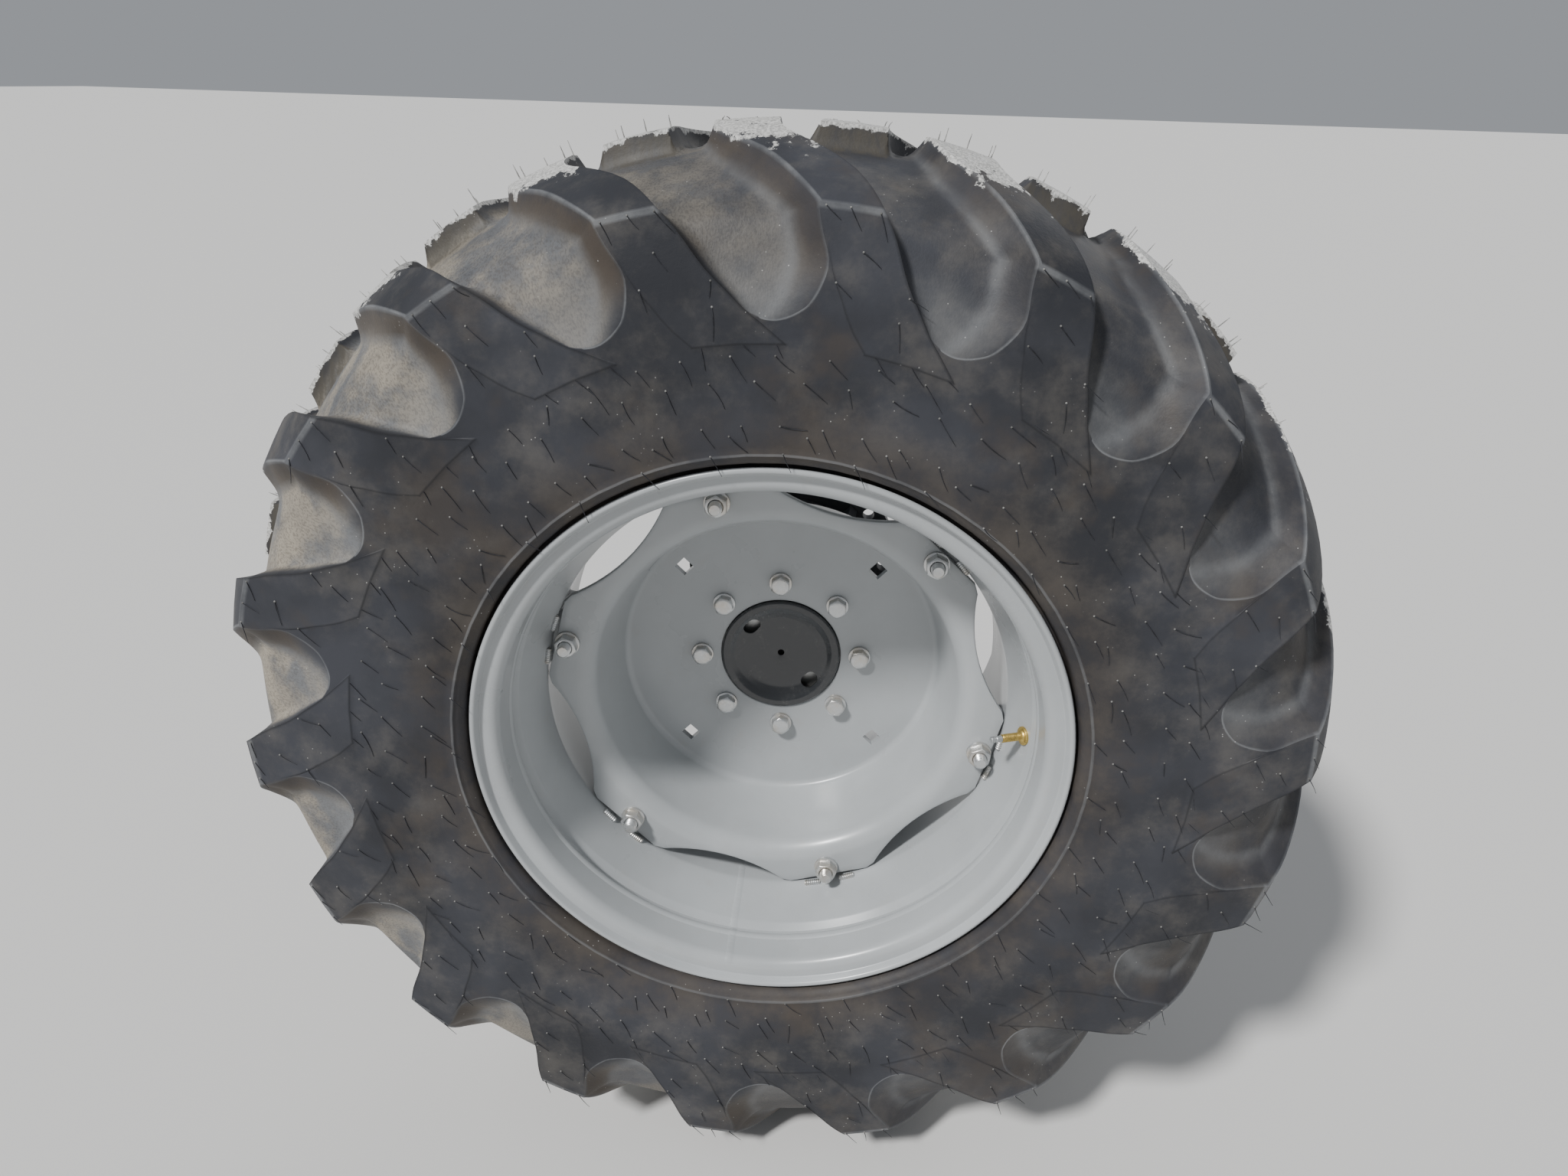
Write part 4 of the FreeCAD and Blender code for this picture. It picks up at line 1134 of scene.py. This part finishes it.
def rim_fasteners(zinc):
    """Six bolts through the ears and the brackets behind them, with nuts and washers outboard."""
    nuts, bolts = Form(), Form()
    behind = EAR_FACE_Y + DISC_THICKNESS + BRACKET_PLATE
    for k in range(EARS):
        angle = EAR_PHASE + EAR_STEP * k
        place = outboard(RIM_CIRCLE_R, angle, EAR_FACE_Y)
        washer_form(nuts, place, outer=15.0, bore=8.3, thickness=WASHER)
        nut = outboard(RIM_CIRCLE_R, angle, EAR_FACE_Y - WASHER, turn=13.0 * k)
        hexagon_form(nuts, nut, flats=24.0, height=12.5, bore=8.1)
        thread_form(bolts, place, radius=8.0, start=10.0, end=25.0, pitch=2.0)
        bolts.lathe([(7.9, -0.5), (7.9, 33)], outboard(RIM_CIRCLE_R, angle, behind), 30)
        hexagon_form(bolts, inboard(RIM_CIRCLE_R, angle, behind), flats=24.0, height=9.6, dome=0.4)
    piece_of("rim_nut_set", nuts, [zinc], replaced=("rim_nuts",))
    piece_of("rim_bolt_set", bolts, [zinc], replaced=("rim_bolts",))


def retainer_bolts_piece(zinc):
    """Eight bolt heads on the bearing retainer, around the shaft."""
    form = Form()
    low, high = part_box("bearing_retainer")
    face_y, circle_r = mm(low.y), mm(high.x) - 13.0
    thin = 1.6
    for k in range(8):
        angle = 22.5 + 45.0 * k
        washer_form(form, outboard(circle_r, angle, face_y), outer=9.2, bore=5.5, thickness=thin)
        head = outboard(circle_r, angle, face_y - thin, turn=11.0 * k)
        hexagon_form(form, head, flats=15.0, height=5.0, dome=0.3)
    piece_of("retainer_bolt_heads", form, [zinc], body=AXLE_BODY)


# Cap: the middle of the sheet, by radius and depth behind its ring, and its bends
CAP_LINE = [(5, 9), (30, 9), (50, 7.4), (60, 4.4), (67.5, 0), (75.2, 0)]
CAP_BENDS = {1: 60, 2: 30, 3: 16, 4: 8, 5: 2}
CAP_SHEET = 2.0
CAP_HEIGHT = 3.5
CAP_HOLE_R = 53.0
CAP_HOLE_ROUND = 8.5
CAP_HOLE_STRETCH = 3.5
CAP_HOLE_ANGLES = (136.0, -44.0)


def cap_piece(material):
    """The cap: flat ring, pressed dish, two oval holes and a centre hole."""
    skin_y = HUB_FACE_Y - CAP_HEIGHT + CAP_SHEET / 2
    line = [(r, skin_y + depth) for r, depth in CAP_LINE]
    line.append((CAP_LINE[-1][0], HUB_FACE_Y + DISC_THICKNESS - 0.3))
    form = Form()
    form.revolve(sheet_outline(rounded(line, CAP_BENDS), CAP_SHEET, nose=2), np.arange(144) * 2.5)
    turns = np.radians(np.arange(7.5, 360.0, 15.0))
    oval = [(CAP_HOLE_ROUND * math.cos(t),
             CAP_HOLE_ROUND * math.sin(t) + math.copysign(CAP_HOLE_STRETCH, math.sin(t))) for t in turns]
    holes = Form()
    for angle in CAP_HOLE_ANGLES:
        hole_form(holes, oval, outboard(CAP_HOLE_R, angle, HOLE_START_Y, angle))
    mesh = cut_form("hub_cap", form, holes, 34.0)
    place_piece("cap_pressing", mesh, [material], replaced=("hub_cap",))


# Valve: radius and height over the rim, by its parts from the base to the tip
VALVE_ANGLE = -1.8
VALVE_UP_SLOPE = 42.0
VALVE_SLOPE = math.atan2(300.8 - WELL_R, 55.0)
VALVE_BASE = [(0, -6), (5, -6), (5, 0), (11, 0), (11, 2.6), (10.2, 3.4), (8.2, 3.8), (7.4, 5.2), (6.2, 6)]
VALVE_NECK = [(5, 28), (4.6, 28.6), (3.4, 29)]
VALVE_TIP = [(3.4, 29), (3.8, 29.4), (3.8, 36), (3.3, 36.6), (3.3, 38), (3.8, 38.5), (3.8, 42.4), (3.2, 43),
             (0, 43)]


def valve_piece(brass, tip):
    """The valve: flanged base, ribbed stem and a narrow silvery tip."""
    base_r = WELL_R + VALVE_UP_SLOPE * math.tan(VALVE_SLOPE)
    normal = Vector((-math.cos(VALVE_SLOPE), -math.sin(VALVE_SLOPE), 0))
    base = Vector((base_r, RIM_CENTRE_Y - WELL_HALF_WIDTH - VALVE_UP_SLOPE, 0)) + normal * RIM_SHEET / 2
    turn = Matrix.Rotation(-math.radians(VALVE_ANGLE), 4, "Y")
    place = along(turn @ base, turn @ normal)
    ribs = [VALVE_BASE[-1]]
    for k in range(8):
        z = 6.6 + k * 2.6
        ribs += [(5, z), (5, z + 1.1), (4.5, z + 1.5), (4.5, z + 2.2)]
    form = Form()
    form.lathe(VALVE_BASE, place, 40)
    form.lathe(ribs + VALVE_NECK, place, 32)
    form.lathe(VALVE_TIP, place, 28, finish=1)
    piece_of("valve_stem", form, [brass, tip], replaced=("valve",))


def lengths(name, text, default):
    """A length property."""
    return FloatProperty(name=name, description=text, default=default, unit="LENGTH", subtype="DISTANCE")


def colors(name, text, default):
    """A colour property."""
    return FloatVectorProperty(name=name, description=text, default=default, subtype="COLOR", size=3, min=0, max=1)


class WHEEL_PG_tyre(bpy.types.PropertyGroup):
    hair_length: lengths("Vent hair length", "Mean length of the rubber hairs left by the mould", 0.024)
    rubber: colors("Rubber", "Sidewall rubber", (0.034, 0.0355, 0.042))
    dust: colors("Dust", "Dust in the hollows", (0.37, 0.33, 0.265))
    # This colour also paints the highlight lines along the slopes' feet and, made lighter, those along the lugs'
    # edges and the ring above the rim.
    bloom: colors("Bloom", "Pale bloom in the hollows' lower half and along the slopes' feet", (0.17, 0.175, 0.18))
    brown: colors("Brown bloom", "Bloom on sheltered walls and near the bead", (0.07, 0.056, 0.044))
    worn: colors("Worn tops", "Scuffed rubber on the lug tops", (0.72, 0.71, 0.68))


class WHEEL_PG_metal(bpy.types.PropertyGroup):
    paint: colors("Wheel paint", "Paint of rim, disc and brackets", (0.44, 0.458, 0.465))
    stain: colors("Stain", "Dust and stains on the paint", (0.38, 0.35, 0.31))
    zinc: colors("Zinc", "Plating of bolts, nuts and washers", (0.62, 0.63, 0.63))
    tint: colors("Zinc tint", "Warm tint in the plating", (0.6, 0.56, 0.5))
    cap: colors("Cap", "Paint of the hub cap", (0.024, 0.026, 0.029))
    dust: colors("Dust", "Dust on black parts", (0.2, 0.19, 0.17))
    brass: colors("Valve", "Yellow plating of the valve", (0.72, 0.52, 0.16))
    steel: colors("Machined steel", "Shaft and bearing", (0.5, 0.5, 0.49))
    housing: colors("Housing", "Paint of the axle housing", (0.06, 0.063, 0.067))
    seal: colors("Seal", "Seal rubber", (0.03, 0.028, 0.028))


class WHEEL_PG_stage(bpy.types.PropertyGroup):
    floor: colors("Floor", "Colour of the studio floor", (0.72, 0.71, 0.69))
    sky: colors("Surroundings", "Colour of the light from all around", (0.82, 0.86, 0.92))
    sky_strength: FloatProperty(name="Surroundings strength", description="Strength of that light", default=0.38)
    key_strength: FloatProperty(name="Key light", description="Strength of the key light", default=3.8)
    key_spread: FloatProperty(name="Key spread", description="Angle that the key light fills", default=0.12,
                              unit="ROTATION")
    lens: FloatProperty(name="Lens", description="Focal length in millimetres", default=25.434)


# Camera, worked out from circles of the rim and the bolts
CAMERA_PLACE = (53.26, -1598.31, 675.93)
CAMERA_YAW = 2.339
CAMERA_PITCH = 24.604
CAMERA_ROLL = -1.8
SENSOR_WIDTH = 36.0

# Where the lights stand from the wheel
KEY_DIRECTION = (-0.44, -0.52, 0.73)
BACK_DIRECTION = (0.45, 0.8, 0.4)
BACK_SHARE = 0.06
BACK_SPREAD = 3
LIGHT_DISTANCE = 4.0

# Corners of the floor, x and y
FLOOR_CORNERS = [(-40000, -6000), (40000, -6000), (40000, 60000), (-40000, 60000)]


def make_stage(looks):
    """Camera, lights and floor."""
    scene = bpy.context.scene
    camera_data = bpy.data.cameras.new("photo_camera")
    camera_data.lens = looks.lens
    camera_data.sensor_width = SENSOR_WIDTH
    camera = bpy.data.objects.new("photo_camera", camera_data)
    camera.matrix_world = Matrix.Translation(Vector(CAMERA_PLACE) * MM)
    for angle, axis in ((CAMERA_YAW, "Z"), (-CAMERA_PITCH, "X"), (CAMERA_ROLL, "Y"), (90.0, "X")):
        camera.matrix_world = camera.matrix_world @ Matrix.Rotation(math.radians(angle), 4, axis)
    scene.collection.objects.link(camera)
    scene.camera = camera
    for name, direction, strength, spread in (
            ("key_light", KEY_DIRECTION, looks.key_strength, looks.key_spread),
            ("back_light", BACK_DIRECTION, looks.key_strength * BACK_SHARE, looks.key_spread * BACK_SPREAD)):
        data = bpy.data.lights.new(name, "SUN")
        data.energy = strength
        data.angle = spread
        light = bpy.data.objects.new(name, data)
        away = Vector(direction).normalized()
        light.location = Vector((0.0, RIM_CENTRE_Y * MM, 0.0)) + away * LIGHT_DISTANCE
        light.rotation_mode = "QUATERNION"
        light.rotation_quaternion = away.to_track_quat("Z", "Y")
        scene.collection.objects.link(light)
    world = bpy.data.worlds.new("studio")
    world.use_nodes = True
    background = world.node_tree.nodes["Background"]
    background.inputs["Color"].default_value = (*looks.sky, 1.0)
    background.inputs["Strength"].default_value = looks.sky_strength
    scene.world = world
    form = Form()
    form.add([(x, y, mm(cad_box[0].z)) for x, y in FLOOR_CORNERS], [[0, 1, 2, 3]])
    mesh = build_mesh("studio_floor", form)
    mesh.materials.append(Shader("studio_floor", looks.floor, 0.8, specular=0.2).material)
    floor = bpy.data.objects.new("studio_floor", mesh)
    scene.collection.objects.link(floor)


def coat_nodes(names, material):
    """Give CAD nodes a material."""
    for name in names:
        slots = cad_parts[name].data.materials
        slots.clear()
        slots.append(material)


class WHEEL_OT_stage(bpy.types.Operator):
    """Add the camera, the lights and the floor"""
    bl_idname = "wheel.stage"
    bl_label = "Stage"

    def execute(self, context):
        make_stage(context.scene.wheel_stage)
        return {"FINISHED"}


class WHEEL_OT_tyre(bpy.types.Operator):
    """Make the tyre with its lugs, lines and vent hairs"""
    bl_idname = "wheel.tyre"
    bl_label = "Tyre"

    def execute(self, context):
        tyre_piece(context.scene.wheel_tyre)
        hair_pieces(context.scene.wheel_tyre)
        return {"FINISHED"}


class WHEEL_OT_rim(bpy.types.Operator):
    """Make the rim and the disc, and paint the brackets"""
    bl_idname = "wheel.rim"
    bl_label = "Rim and disc"

    def execute(self, context):
        paint = paint_material(context.scene.wheel_metal)
        rim_piece(paint)
        disc_piece(paint)
        coat_nodes(["rim_bracket_" + str(k + 1) for k in range(EARS)], paint)
        return {"FINISHED"}


class WHEEL_OT_fasteners(bpy.types.Operator):
    """Make the bolts, nuts, washers and bare welds of wheel and axle end"""
    bl_idname = "wheel.fasteners"
    bl_label = "Fasteners"

    def execute(self, context):
        zinc = zinc_material(context.scene.wheel_metal)
        hub_bolts_piece(zinc)
        rim_fasteners(zinc)
        retainer_bolts_piece(zinc)
        bracket_welds(zinc)
        return {"FINISHED"}


class WHEEL_OT_cap(bpy.types.Operator):
    """Make the hub cap"""
    bl_idname = "wheel.cap"
    bl_label = "Hub cap"

    def execute(self, context):
        cap_piece(cap_material(context.scene.wheel_metal))
        return {"FINISHED"}


class WHEEL_OT_valve(bpy.types.Operator):
    """Make the tyre valve"""
    bl_idname = "wheel.valve"
    bl_label = "Valve"

    def execute(self, context):
        looks = context.scene.wheel_metal
        valve_piece(plate_material("yellow_plate", looks.brass, 0.55),
                    plate_material("silver_plate", looks.zinc, 0.8))
        return {"FINISHED"}


class WHEEL_OT_axle_end(bpy.types.Operator):
    """Finish the axle end: housing, retainer, shaft, bearing and seal"""
    bl_idname = "wheel.axle_end"
    bl_label = "Axle end"

    def execute(self, context):
        looks = context.scene.wheel_metal
        coat_nodes(["axle_housing", "bearing_retainer"], casting_material(looks))
        coat_nodes(["axle_shaft", "axle_bearing"], machined_material(looks))
        coat_nodes(["oil_seal"], seal_material(looks))
        return {"FINISHED"}


class WHEEL_PT_panel(bpy.types.Panel):
    """Lists the steps that dress the wheel"""
    bl_label = "Tractor rear wheel"
    bl_idname = "WHEEL_PT_panel"
    bl_space_type = "VIEW_3D"
    bl_region_type = "UI"
    bl_category = "Wheel"

    def draw(self, context):
        for step in STEPS:
            self.layout.operator(step.bl_idname)


STEPS = (WHEEL_OT_stage, WHEEL_OT_tyre, WHEEL_OT_rim, WHEEL_OT_fasteners, WHEEL_OT_cap, WHEEL_OT_valve,
         WHEEL_OT_axle_end)
GROUPS = {"wheel_tyre": WHEEL_PG_tyre, "wheel_metal": WHEEL_PG_metal, "wheel_stage": WHEEL_PG_stage}


def register():
    for item in (*GROUPS.values(), *STEPS, WHEEL_PT_panel):
        bpy.utils.register_class(item)
    for name, group in GROUPS.items():
        setattr(bpy.types.Scene, name, PointerProperty(type=group))


def unregister():
    for name in GROUPS:
        delattr(bpy.types.Scene, name)
    for item in (WHEEL_PT_panel, *STEPS, *GROUPS.values()):
        bpy.utils.unregister_class(item)


def main():
    register()
    bpy.ops.wheel.stage()
    bpy.ops.wheel.tyre()
    bpy.ops.wheel.rim()
    bpy.ops.wheel.fasteners()
    bpy.ops.wheel.cap()
    bpy.ops.wheel.valve()
    bpy.ops.wheel.axle_end()


if __name__ == "__main__":
    main()
